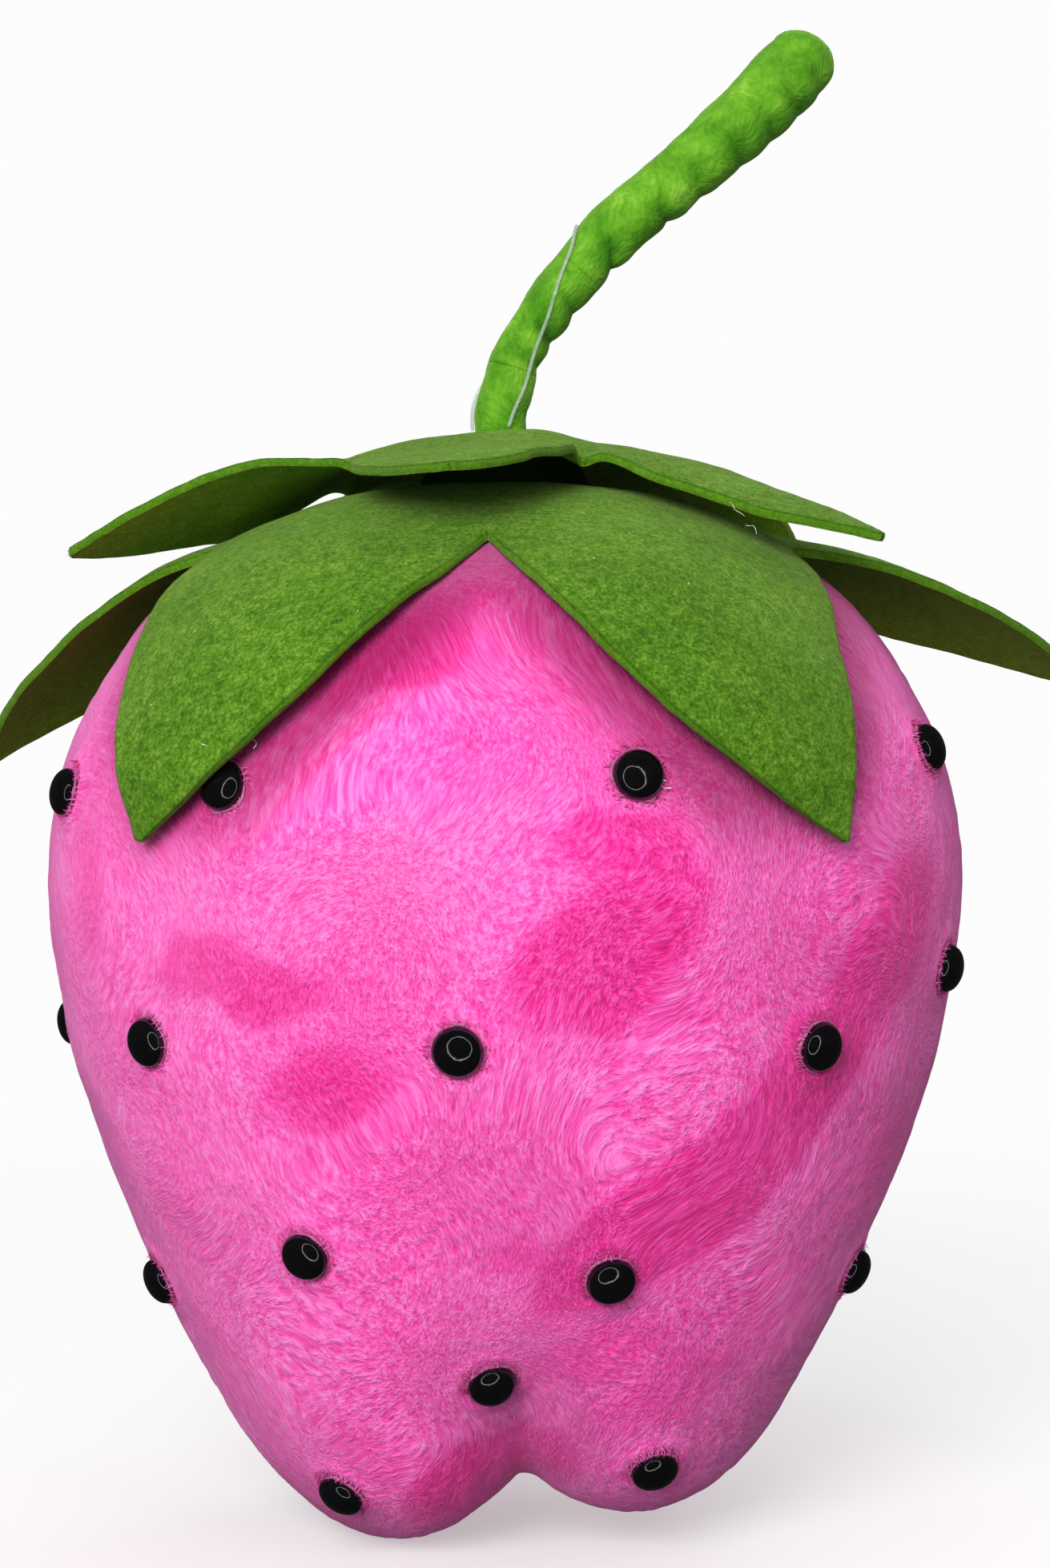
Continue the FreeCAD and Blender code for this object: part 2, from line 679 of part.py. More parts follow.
# (azimuth, height) of each bead, row by row
SEEDS = {
    "front_seed_beads_upper": [(-67.7, 96.5), (-33.4, 97.3), (15.3, 98.5), (66.6, 102.0)],
    "front_seed_beads_middle": [(-47.3, 66.8), (-5.0, 67.3), (40.4, 66.7), (70.0, 74.5)],
    "front_seed_beads_lower": [(-71.5, 34.4), (-28.1, 42.0), (15.2, 39.6), (71.9, 35.6)],
    "front_seed_beads_bottom": [(-2.1, 26.2), (-39.7, 9.5), (33.9, 13.3)],
    "back_seed_beads_upper": [(114.0, 97.0), (157.0, 99.0), (-156.0, 96.0), (-112.0, 99.0)],
    "back_seed_beads_middle": [(126.0, 68.0), (172.0, 66.0), (-134.0, 67.0), (-92.0, 66.0)],
    "back_seed_beads_lower": [(112.0, 38.0), (154.0, 40.0), (-162.0, 37.0), (-118.0, 41.0)],
    "back_seed_beads_bottom": [(171.0, 27.0), (140.0, 12.0), (-140.0, 12.0)],
}


def face_point(angle, z):
    """Point of the fruit's face from its height before the underside's lift."""
    radius = side_at(z)[0]
    x, y = radius * math.cos(angle), radius * math.sin(angle)
    return Vector(x, y, z + underside_lift(x, y, z, radius))


def surface_at(azimuth, height):
    """Point and outward normal of the fruit's face, the underside's lift included."""
    angle = math.radians(azimuth - 90)
    z = height
    for _ in range(12):
        z += (height - face_point(angle, z).z) * 0.7
    point = face_point(angle, z)
    around = face_point(angle + 0.01, z) - face_point(angle - 0.01, z)
    upward = face_point(angle, z + 0.4) - face_point(angle, z - 0.4)
    normal = around.cross(upward)
    normal.normalize()
    if normal.dot(Vector(point.x, point.y, 0)) < 0:
        normal = normal * -1.0
    return point, normal


def seat(shape, point, normal, lift):
    """Stand a shape on the face, its +Z along the normal."""
    rotation = FreeCAD.Rotation(UP, normal)
    shape.Placement = FreeCAD.Placement(point + normal * lift, rotation)
    return shape


def bead(point, normal):
    """A flat-backed dome: a flattened spherical cap on a short straight rim."""
    cap_h = BEAD_H - BEAD_RIM
    sphere_r = (BEAD_R ** 2 + cap_h ** 2) / (2 * cap_h)
    sphere = Part.makeSphere(sphere_r, Vector(0, 0, BEAD_H - sphere_r))
    dome = sphere.common(Part.makeCylinder(BEAD_R, BEAD_H + 1, ORIGIN))
    dome = dome.fuse(Part.makeCylinder(BEAD_R, BEAD_RIM, ORIGIN)).removeSplitter()
    return seat(dome, point, normal, BEAD_LIFT)


def glue_dot(point, normal):
    return seat(Part.makeCone(GLUE_R, GLUE_R - 0.2, GLUE_T, ORIGIN), point, normal, GLUE_LIFT)


glue_dots = {"front": [], "back": []}
for name, places in SEEDS.items():
    beads = []
    for azimuth, height in places:
        point, normal = surface_at(azimuth, height)
        beads.append(bead(point, normal))
        glue_dots[name.split("_")[0]].append(glue_dot(point, normal))
    save(name, Part.makeCompound(beads))
for side, dots in glue_dots.items():
    save(side + "_seed_glue_dots", Part.makeCompound(dots))
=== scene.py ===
"""A pink plush fruit with black seed beads, two green felt leaf stars and a bent stem.

It stands on z = 0 with its axis on Z. The front faces -Y and the right side is +X.
Lengths are in millimetres and MM turns them into metres. Azimuths are in degrees from
the front, growing towards the right.
"""
import math
from typing import Callable, NamedTuple

import bmesh
import bpy
import numpy as np
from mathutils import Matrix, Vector


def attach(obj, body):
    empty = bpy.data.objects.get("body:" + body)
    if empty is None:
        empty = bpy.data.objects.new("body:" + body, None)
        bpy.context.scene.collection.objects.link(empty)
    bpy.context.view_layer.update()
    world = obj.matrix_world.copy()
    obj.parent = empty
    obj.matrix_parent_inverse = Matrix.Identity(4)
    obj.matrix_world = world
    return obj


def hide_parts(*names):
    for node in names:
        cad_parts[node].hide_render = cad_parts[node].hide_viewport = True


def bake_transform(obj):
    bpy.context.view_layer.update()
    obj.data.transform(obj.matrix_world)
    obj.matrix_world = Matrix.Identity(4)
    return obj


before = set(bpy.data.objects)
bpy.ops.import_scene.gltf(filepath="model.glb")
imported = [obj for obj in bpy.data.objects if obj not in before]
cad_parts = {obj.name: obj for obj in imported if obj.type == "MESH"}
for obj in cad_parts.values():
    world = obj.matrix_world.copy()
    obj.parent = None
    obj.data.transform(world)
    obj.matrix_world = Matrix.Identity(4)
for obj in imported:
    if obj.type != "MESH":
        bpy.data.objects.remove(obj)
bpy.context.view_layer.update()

MM = 0.001
COLLECTION = bpy.context.scene.collection

# ---------------------------------------------------------------- dimensions
SIDE_STEP = 72.0                       # degrees between the leaves of a star
HALF_STEP = SIDE_STEP / 2
COS_HALF = math.cos(math.radians(HALF_STEP))
FELT_THICK = 1.2
HINGE_GAP = 0.20                       # between a star's hub and its leaves
LOW_NOTCH_R, UP_NOTCH_R = 38.6, 24.0   # where the stars' notches end
LOW_NOTCH_AZ = -2.7                    # a notch of the lower star
UP_LEAF_AZ = -13.0                     # the front leaf of the upper star
UP_TILT, TILT_AT = 2.6, (-0.6, 140.0)  # degrees the right side rises, about this (x, z)
LOW_TOP = 134.8                        # flat middle of the lower star's underside
LOW_FLAT_R = 14.0
LOW_CLEARANCE = 0.38                   # from the fruit's outline to the lower star

CLOTH_THICK = 2.35
CLEFT_X, CLEFT_DEPTH = 1.94, 10.5      # a groove along Y under the fruit
CLEFT_FLANKS = (9.36, 1.36), (12.05, 1.46)  # (width, power) to the left, to the right
DIMPLE_LIFT = 9.0

# the fruit's outline from the top dimple, round the side, to the bottom: (radius, z)
PROFILE = [
    (3.2, 127.6), (3.9, 130.6), (7.0, 133.2), (13.0, 134.4), (20.0, 133.8),
    (28.0, 131.5), (36.0, 128.0), (43.0, 123.3), (48.6, 117.5), (52.9, 111.0),
    (56.6, 103.7), (58.8, 96.0), (59.7, 87.0), (59.3, 78.0), (57.9, 70.0),
    (56.4, 62.6), (54.0, 55.0), (51.4, 47.6), (48.2, 40.0), (44.0, 30.5),
    (39.4, 21.6), (35.0, 14.0), (30.6, 8.2), (25.5, 3.3), (20.8, 0.2),
    (16.2, -1.2), (11.6, 0.1), (7.5, 3.4), (4.3, 8.0), (2.9, 13.0),
]


# --------------------------------------------------------------------- maths
def smooth(t):
    t = np.clip(t, 0.0, 1.0)
    return t * t * (3 - 2 * t)


def unit(vectors):
    return vectors / np.maximum(np.linalg.norm(vectors, axis=-1, keepdims=True), 1e-9)


def lattice(ix, iy, iz, seed):
    """A repeatable value from -1 to 1 for each whole-number cell corner."""
    n = (ix * 73856093) ^ (iy * 19349663) ^ (iz * 83492791) ^ ((seed * 2654435761) & 0x7FFFFFFF)
    n = ((n ^ (n >> 13)) * 1274126177) & 0x7FFFFFFF
    n = ((n ^ (n >> 15)) * 668265263) & 0x7FFFFFFF
    n = (n ^ (n >> 13)) & 0xFFFF
    return n / 32767.5 - 1.0


def vnoise(points, seed):
    """Smooth value noise, -1 to 1. points is (..., 3), in cells."""
    points = np.asarray(points, float)
    cell = np.floor(points).astype(np.int64)
    part = points - cell
    ease = part * part * part * (part * (part * 6 - 15) + 10)
    total = 0.0
    for dx in (0, 1):
        weight_x = ease[..., 0] if dx else 1 - ease[..., 0]
        for dy in (0, 1):
            weight_y = ease[..., 1] if dy else 1 - ease[..., 1]
            for dz in (0, 1):
                weight_z = ease[..., 2] if dz else 1 - ease[..., 2]
                corner = lattice(cell[..., 0] + dx, cell[..., 1] + dy, cell[..., 2] + dz, seed)
                total = total + weight_x * weight_y * weight_z * corner
    return total


def fbm(points, octaves, seed):
    """Value noise summed over octaves of halving strength."""
    total, strength, full = 0.0, 1.0, 0.0
    for k in range(octaves):
        total = total + strength * vnoise(points * (2.03 ** k) + 17.1 * k, seed + k * 7)
        full += strength
        strength *= 0.5
    return total / full


def run_length(points):
    return np.r_[0, np.cumsum(np.linalg.norm(np.diff(points, axis=0), axis=1))]


class Spline:
    """Natural cubic spline through points, with its knots spaced by chord length."""

    def __init__(self, points):
        self.points = np.array(points, float)
        chord = run_length(self.points)
        self.knots = chord / chord[-1]
        count, gaps = len(points), np.diff(self.knots)
        slopes = np.diff(self.points, axis=0) / gaps[:, None]
        matrix, target = np.eye(count), np.zeros_like(self.points)
        for i in range(1, count - 1):
            matrix[i, i - 1:i + 2] = gaps[i - 1], 2 * (gaps[i - 1] + gaps[i]), gaps[i]
            target[i] = 6 * (slopes[i] - slopes[i - 1])
        self.bends, self.gaps = np.linalg.solve(matrix, target), gaps
        self.samples = np.linspace(0, 1, 1200)
        run = run_length(self.raw(self.samples))
        self.length = run[-1]
        self.shares = run / run[-1]

    def raw(self, t, slope=False):
        """Points, or slopes, at knot parameters t from 0 to 1."""
        last = len(self.gaps) - 1
        i = np.clip(np.searchsorted(self.knots, t, side="right") - 1, 0, last)
        gap = self.gaps[i][:, None]
        after = (self.knots[i + 1] - t)[:, None]
        before = (t - self.knots[i])[:, None]
        bend0, bend1 = self.bends[i], self.bends[i + 1]
        point0, point1 = self.points[i], self.points[i + 1]
        if slope:
            return ((-bend0 * after * after + bend1 * before * before) / (2 * gap)
                    + (point1 - point0) / gap - (bend1 - bend0) * gap / 6)
        return ((bend0 * after ** 3 + bend1 * before ** 3) / (6 * gap)
                + (point0 / gap - bend0 * gap / 6) * after
                + (point1 / gap - bend1 * gap / 6) * before)

    def at(self, shares):
        """Points and unit tangents at fractions of the length."""
        t = np.interp(np.atleast_1d(shares), self.shares, self.samples)
        return self.raw(t), unit(self.raw(t, slope=True))


OUTLINE = Spline(PROFILE)


def outline_at(shares):
    """Points and outward normals (r, z) of the fruit's outline."""
    points, tangents = OUTLINE.at(shares)
    return points, np.stack([-tangents[:, 1], tangents[:, 0]], 1)


FINE_POINTS, FINE_NORMALS = outline_at(np.linspace(0, 1, 1601))
# the side, below the top's shoulder and above the lowest point
SIDE_FROM = 161
SIDE = slice(SIDE_FROM, SIDE_FROM + int(np.argmin(FINE_POINTS[SIDE_FROM:, 1])))
# the top, beyond the dimple, as the lower star lies on it
TOP_LINE = (FINE_POINTS + FINE_NORMALS * LOW_CLEARANCE)[61:]
TOP_LINE = TOP_LINE[TOP_LINE[:, 1] > 60]


def side_at(z):
    """Radius, and the normal's r and z, of the fruit's side at a height."""
    heights = -FINE_POINTS[SIDE, 1]
    columns = FINE_POINTS[SIDE, 0], FINE_NORMALS[SIDE, 0], FINE_NORMALS[SIDE, 1]
    return [float(np.interp(-z, heights, column)) for column in columns]


def cleft_lift(x, y, z, radius):
    """How far the cleft, the dimple and a shallow dent raise the fruit's underside."""
    left, right = (np.exp(-(np.abs(x - CLEFT_X) / width) ** power)
                   for width, power in CLEFT_FLANKS)
    groove = CLEFT_DEPTH * np.where(x < CLEFT_X, left, right)
    near_axis = smooth((7.5 - radius) / 4.0)
    groove = groove * (1 - near_axis) + DIMPLE_LIFT * near_axis
    dent = 2.05 * np.exp(-((x - 12.0) ** 2 / 276.0) - ((y + 4.0) ** 2 / 220.0))
    groove_fade = 1 - smooth((z - 6.0) / 34.0)
    dent_fade = 1 - smooth((z - 2.0) / 14.0)
    return groove * groove_fade + dent * dent_fade * (1 - near_axis)


# -------------------------------------------------------------------- meshes
def new_object(name, verts, faces, smooth_shade=True):
    mesh = bpy.data.meshes.new(name)
    mesh.from_pydata((np.asarray(verts, float) * MM).tolist(), [], faces)
    mesh.validate()
    mesh.update()
    if smooth_shade:
        mesh.polygons.foreach_set("use_smooth", np.ones(len(mesh.polygons), bool))
    obj = bpy.data.objects.new(name, mesh)
    COLLECTION.objects.link(obj)
    return obj


def fix_normals(mesh, sharp_angle):
    """Turns all faces outward; edges over sharp_angle degrees shade sharp, if it is given."""
    work = bmesh.new()
    work.from_mesh(mesh)
    bmesh.ops.recalc_face_normals(work, faces=work.faces)
    work.to_mesh(mesh)
    work.free()
    mesh.update()
    if sharp_angle:
        mesh.set_sharp_from_angle(angle=math.radians(sharp_angle))


class Builder:
    """Collects vertices, faces and point attributes for one mesh."""

    def __init__(self):
        self.verts, self.faces, self.count, self.attrs = [], [], 0, {}

    def add(self, verts, faces=(), **attrs):
        """Adds vertices and faces among them; returns the first vertex's index."""
        verts = np.asarray(verts, float).reshape(-1, 3)
        start = self.count
        self.verts.append(verts)
        self.faces += [tuple(int(i) + start for i in face) for face in faces]
        self.count += len(verts)
        for key in {**self.attrs, **attrs}:
            values = np.asarray(attrs.get(key, 0.0), float).reshape(-1)
            chunks = self.attrs.setdefault(key, [np.zeros(start)])
            chunks.append(np.broadcast_to(values, (len(verts),)))
        return start

    def stitch(self, faces):
        """Adds faces among vertices already in the mesh."""
        self.faces += [tuple(int(i) for i in face) for face in faces]

    def finish(self, name, material, ride=None, replaces=None, recalc=True, sharp=0):
        obj = new_object(name, np.concatenate(self.verts), self.faces)
        for key, chunks in self.attrs.items():
            data = obj.data.attributes.new(key, "FLOAT", "POINT").data
            data.foreach_set("value", np.concatenate(chunks).astype(np.float32))
        if recalc:
            fix_normals(obj.data, sharp)
        obj.data.materials.append(material)
        if ride:
            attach(obj, ride)
        if replaces:
            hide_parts(replaces)
        return obj


def grid_faces(rows, cols, wrap=False, wrap_rows=False, start=0, flip=False):
    faces = []
    for i in range(rows if wrap_rows else rows - 1):
        row, below = start + i * cols, start + (i + 1) % rows * cols
        for j in range(cols if wrap else cols - 1):
            k = (j + 1) % cols
            face = (row + j, row + k, below + k, below + j)
            faces.append((face[0], face[3], face[2], face[1]) if flip else face)
    return faces


def fan_faces(ring, count, apex, flip=False):
    pairs = [(ring + j, ring + (j + 1) % count) for j in range(count)]
    return [(b, a, apex) if flip else (a, b, apex) for a, b in pairs]


def lathe(profile, segments):
    """Closed surface of revolution about +Z from (r, z) rows that start and end on the axis."""
    rows = np.array(profile[1:-1])
    angle = 2 * math.pi * np.arange(segments) / segments
    rings = np.stack([rows[:, :1] * np.cos(angle), rows[:, :1] * np.sin(angle),
                      rows[:, 1:] + 0 * angle], -1)
    verts = np.vstack([[(0, 0, profile[0][1])], rings.reshape(-1, 3), [(0, 0, profile[-1][1])]])
    last_ring = 1 + (len(rows) - 1) * segments
    faces = fan_faces(1, segments, 0, flip=True)
    faces += grid_faces(len(rows), segments, wrap=True, start=1)
    return verts, faces + fan_faces(last_ring, segments, len(verts) - 1)


def axes_about(normal):
    """Two side vectors and the unit normal, as rows."""
    normal = normal / np.linalg.norm(normal)
    side = np.cross(normal, (0, 0, 1.0))
    if np.linalg.norm(side) < 1e-3:
        side = np.array((1.0, 0, 0))
    side = unit(side)
    return np.stack([side, np.cross(normal, side), normal], 0)


def place(verts, centre, normal):
    return verts @ axes_about(normal) + centre


def blade(root, along, side, length, width, curl, segments=3):
    """A tapered closed strand; its tip moves off the straight line by curl."""
    up = np.cross(along, side)
    verts = []
    for k in range(segments):
        t = k / segments
        centre = root + along * length * t + curl * length * t * t
        half = width * (1 - t) ** 0.7 * 0.5
        verts += [centre + side * half, centre + up * half * 0.8, centre - side * half]
    verts.append(root + along * length + curl * length)
    faces = [(0, 2, 1)] + grid_faces(segments, 3, wrap=True)
    return np.array(verts), faces + fan_faces(3 * (segments - 1), 3, 3 * segments)


def tube(points, radius, segments, per_cm):
    """A round tube with flat ends along a spline."""
    spline = Spline(points)
    steps = max(12, int(spline.length * per_cm / 10))
    centres, tangents = spline.at(np.linspace(0, 1, steps + 1))
    side = unit(np.cross(tangents, (0.2, -1.0, 0.1)))
    other = np.cross(tangents, side)
    angle = (2 * math.pi * np.arange(segments) / segments)[:, None]
    spokes = np.cos(angle) * side[:, None] + np.sin(angle) * other[:, None]
    verts = centres[:, None] + radius * spokes
    faces = grid_faces(steps + 1, segments, wrap=True)
    faces.append(tuple(range(segments - 1, -1, -1)))
    faces.append(tuple(steps * segments + k for k in range(segments)))
    return verts.reshape(-1, 3), faces


# ----------------------------------------------------------------- materials
def srgb(*rgb):
    """Linear RGBA from 0-255 sRGB."""
    shares = [c / 255.0 for c in rgb]
    return (*(c / 12.92 if c <= 0.04045 else ((c + 0.055) / 1.055) ** 2.4 for c in shares), 1.0)


WHITE = (1, 1, 1, 1)


class Nodes:
    """Short ways to make the nodes of one tree."""

    def __init__(self, tree):
        self.tree = tree
        tree.nodes.clear()

    def node(self, kind, **settings):
        node = self.tree.nodes.new(kind)
        for key, value in settings.items():
            setattr(node, key, value)
        return node

    def link(self, source, target):
        self.tree.links.new(source, target)

    def put(self, socket, value):
        if isinstance(value, (int, float, tuple)):
            socket.default_value = value
        else:
            self.link(value, socket)

    def math(self, op, a, b, clamp=False):
        node = self.node("ShaderNodeMath", operation=op, use_clamp=clamp)
        for socket, value in zip(node.inputs, (a, b, 0.0)):
            self.put(socket, value)
        return node.outputs[0]

    def add(self, a, b, clamp=False):
        return self.math("ADD", a, b, clamp)

    def sub(self, a, b, clamp=False):
        return self.math("SUBTRACT", a, b, clamp)

    def mul(self, a, b):
        return self.math("MULTIPLY", a, b)

    def weighted(self, *terms):
        """The sum of (value, weight) terms."""
        total = self.mul(*terms[0])
        for term in terms[1:]:
            total = self.add(total, self.mul(*term))
        return total

    def centred(self, value, weight):
        """A 0 to 1 value moved to swing about zero, times weight."""
        return self.mul(self.sub(value, 0.5), weight)

    def vector(self, op, a, b=(0, 0, 0), scale=None):
        node = self.node("ShaderNodeVectorMath", operation=op)
        self.put(node.inputs[0], a)
        self.put(node.inputs[1], b)
        if scale is not None:
            self.put(node.inputs[3], scale)
        return node.outputs[0]

    def coord(self):
        """Object space in mm."""
        coord = self.node("ShaderNodeTexCoord")
        return self.vector("SCALE", coord.outputs["Object"], scale=1000.0)

    def noise(self, place, scale, detail, rough=0.5, color=False, distortion=0.0):
        node = self.node("ShaderNodeTexNoise")
        self.put(node.inputs["Vector"], place)
        node.inputs["Scale"].default_value = scale
        node.inputs["Detail"].default_value = detail
        node.inputs["Roughness"].default_value = rough
        node.inputs["Distortion"].default_value = distortion
        return node.outputs["Color" if color else "Fac"]

    def drift(self, place, scale):
        """A slowly turning vector about zero."""
        wander = self.noise(place, scale, detail=1.0, color=True)
        return self.vector("SUBTRACT", wander, (0.5, 0.5, 0.5))

    def pushed(self, place, drift, by):
        return self.vector("ADD", place, self.vector("SCALE", drift, scale=by))

    def streaks(self, place, stretch, detail, rough=0.5):
        """Noise drawn out along the axes where stretch is small."""
        return self.noise(self.vector("MULTIPLY", place, stretch), 1.0, detail, rough)

    def attr(self, name):
        return self.node("ShaderNodeAttribute", attribute_name=name).outputs["Fac"]

    def remap(self, value, span, to=(0.0, 1.0)):
        node = self.node("ShaderNodeMapRange")
        self.put(node.inputs[0], value)
        for k, bound in enumerate((*span, *to)):
            node.inputs[k + 1].default_value = bound
        return node.outputs[0]

    def mix(self, factor, a, b):
        node = self.node("ShaderNodeMix", data_type="RGBA", blend_type="MIX")
        for k, value in ((0, factor), (6, a), (7, b)):
            self.put(node.inputs[k], value)
        return node.outputs[2]

    def ramp(self, factor, stops):
        """A colour ramp; stops are (position, sRGB red, green, blue)."""
        node = self.node("ShaderNodeValToRGB")
        self.put(node.inputs[0], factor)
        elements = node.color_ramp.elements
        while len(elements) < len(stops):
            elements.new(0.5)
        for element, (position, *rgb) in zip(elements, stops):
            element.position, element.color = position, srgb(*rgb)
        return node.outputs[0]

    def bump(self, height, strength, distance):
        node = self.node("ShaderNodeBump")
        node.inputs["Strength"].default_value = strength
        node.inputs["Distance"].default_value = distance * MM
        self.put(node.inputs["Height"], height)
        return node.outputs[0]

    def painted_edge_sheen(self, power, span, strength):
        """Grows from 0 to strength where the surface turns away from the view; it drives a
        painted sheen.
        """
        node = self.node("ShaderNodeLayerWeight")
        node.inputs[0].default_value = 0.5
        painted_sheen = self.math("POWER", node.outputs["Facing"], power)
        return self.remap(painted_sheen, span, to=(0.0, strength))

    def light(self, kind, strength):
        """A white Emission or Background node."""
        node = self.node("ShaderNode" + kind)
        node.inputs[0].default_value = WHITE
        node.inputs[1].default_value = strength
        return node

    def mix_shader(self, factor, a, b):
        node = self.node("ShaderNodeMixShader")
        for socket, source in zip(node.inputs, (factor, a, b)):
            self.link(source, socket)
        return node.outputs[0]


class Material(Nodes):
    def __init__(self, name):
        self.material = bpy.data.materials.new(name)
        self.material.use_nodes = True
        super().__init__(self.material.node_tree)
        self.out = self.node("ShaderNodeOutputMaterial").inputs[0]

    def surface(self, **inputs):
        """Sets the Principled inputs; underscores in their names stand for spaces."""
        bsdf = self.node("ShaderNodeBsdfPrincipled")
        for key, value in inputs.items():
            self.put(bsdf.inputs[key.replace("_", " ")], value)
        self.link(bsdf.outputs[0], self.out)
        return bsdf.outputs[0]


def plush_material():
    mat = Material("pink_plush")
    place = mat.coord()
    # the pile's lie wanders: the streaks are drawn through a bent space
    broad, small = mat.drift(place, 0.026), mat.drift(place, 0.16)
    bent = mat.pushed(mat.pushed(place, broad, by=60.0), small, by=1.6)
    strand = mat.streaks(bent, (2.3, 2.3, 0.95), detail=3.0, rough=0.6)
    clump = mat.streaks(bent, (0.95, 0.95, 0.50), detail=2.0)
    fine = mat.streaks(bent, (4.6, 4.6, 2.0), detail=2.0, rough=0.6)
    strand = mat.remap(strand, (0.30, 0.70))
    clump = mat.remap(clump, (0.32, 0.68))
    fine = mat.remap(fine, (0.3, 0.7))
    nap = mat.attr("nap")
    blotch = mat.noise(place, 0.045, detail=3.0, rough=0.55)
    height = mat.weighted((strand, 0.5), (clump, 0.35), (fine, 0.15))
    # the dark patches have edges broken up by the clumps
    dark = mat.remap(mat.add(nap, mat.centred(clump, 0.55)), (0.30, 0.66))
    tone = mat.add(0.20, mat.mul(height, 0.95))
    tone = mat.add(tone, mat.centred(blotch, 0.45))
    tone = mat.sub(tone, mat.mul(dark, 0.34), clamp=True)
    color = mat.ramp(tone, [(0.0, 196, 24, 108), (0.30, 226, 44, 140),
                            (0.62, 243, 86, 176), (1.0, 252, 134, 208)])
    # painted sheen: where the pile is seen along its face the colour goes over to a pale mauve
    painted_sheen = mat.painted_edge_sheen(power=2.2, span=(0.18, 0.95), strength=0.62)
    color = mat.mix(painted_sheen, color, srgb(214, 128, 186))
    # painted shade: the pile under the leaves of the lower star is darkened and deepened in
    # colour
    shade = mat.mul(mat.attr("shade"), 0.85)
    color = mat.mix(shade, color, mat.mix(0.80, color, srgb(128, 10, 60)))
    mat.surface(Base_Color=color, Roughness=0.92, Sheen_Weight=0.35, Sheen_Roughness=0.45,
                Sheen_Tint=srgb(255, 170, 225), Specular_IOR_Level=0.12,
                Normal=mat.bump(height, strength=0.75, distance=0.55))
    return mat.material


def felt_material():
    mat = Material("green_felt")
    place = mat.coord()
    grain = mat.noise(place, 2.1, detail=4.0, rough=0.75)
    shifted = mat.vector("ADD", place, (31.0, 7.0, 3.0))
    mottle = mat.noise(shifted, 0.75, detail=3.0, rough=0.6)
    blotch = mat.noise(place, 0.09, detail=2.0)
    even = mat.vector("MULTIPLY", place, (1.0, 1.0, 1.0))
    fibre = mat.noise(even, 5.5, detail=3.0, rough=0.7, distortion=1.6)
    under, rim, line = mat.attr("under"), mat.attr("rim"), mat.attr("line")
    tone = mat.weighted((mat.remap(grain, (0.34, 0.66)), 0.54),
                        (mat.remap(mottle, (0.34, 0.66)), 0.24),
                        (mat.remap(fibre, (0.32, 0.68)), 0.30))
    tone = mat.add(tone, mat.centred(blotch, 0.35), clamp=True)
    top = mat.ramp(tone, [(0.0, 20, 44, 2), (0.38, 54, 94, 12),
                          (0.66, 84, 126, 26), (1.0, 128, 158, 66)])
    # painted light: the underside gets lighter, greener colours than the top, lifting its shade
    # and the pink cast of light bounced off the fruit
    below = mat.ramp(tone, [(0.0, 66, 92, 8), (0.5, 104, 140, 22), (1.0, 142, 172, 46)])
    color = mat.mix(mat.remap(under, (0.3, 0.9)), top, below)
    color = mat.mix(mat.mul(rim, 0.55), color, srgb(74, 122, 22))
    color = mat.mix(mat.mul(line, 0.75), color, srgb(24, 50, 6))
    # sparse pale lint
    specks = mat.node("ShaderNodeTexVoronoi", feature="F1")
    mat.link(place, specks.inputs["Vector"])
    specks.inputs["Scale"].default_value = 0.21
    lint = mat.mul(mat.math("LESS_THAN", specks.outputs["Distance"], 0.035), 0.6)
    color = mat.mix(lint, color, srgb(190, 205, 150))
    height = mat.weighted((grain, 0.6), (fibre, 0.4))
    mat.surface(Base_Color=color, Roughness=0.95, Sheen_Weight=0.22, Sheen_Roughness=0.5,
                Sheen_Tint=srgb(190, 220, 130), Specular_IOR_Level=0.1,
                Normal=mat.bump(height, strength=0.55, distance=0.35))
    return mat.material


def stem_material():
    mat = Material("stem_plush")
    place = mat.coord()
    bent = mat.pushed(place, mat.drift(place, 0.12), by=9.0)
    strand = mat.streaks(bent, (1.5, 2.4, 0.8), detail=3.0, rough=0.6)
    strand = mat.remap(strand, (0.3, 0.7))
    mottle = mat.remap(mat.noise(place, 0.36, detail=3.0, rough=0.6), (0.34, 0.66))
    crease = mat.attr("crease")
    shifted = mat.vector("ADD", place, (5.0, 9.0, 2.0))
    blotch = mat.remap(mat.noise(shifted, 0.16, detail=2.0), (0.3, 0.7))
    tone = mat.weighted((strand, 0.24), (mottle, 0.24), (blotch, 0.34))
    # painted shade: the tone is darker in the creases of the folds
    tone = mat.sub(mat.add(tone, 0.10), mat.mul(crease, 0.40), clamp=True)
    color = mat.ramp(tone, [(0.0, 40, 94, 8), (0.34, 70, 131, 22),
                            (0.66, 102, 161, 37), (1.0, 154, 200, 82)])
    # painted sheen: the colour goes over to a paler green where the surface turns away from the
    # view
    painted_sheen = mat.painted_edge_sheen(power=2.0, span=(0.25, 1.0), strength=0.4)
    color = mat.mix(painted_sheen, color, srgb(104, 150, 60))
    height = mat.weighted((strand, 0.6), (mottle, 0.4))
    mat.surface(Base_Color=color, Roughness=0.8, Sheen_Weight=0.3, Sheen_Roughness=0.4,
                Sheen_Tint=srgb(200, 255, 140), Specular_IOR_Level=0.2,
                Normal=mat.bump(height, strength=0.6, distance=0.4))
    return mat.material


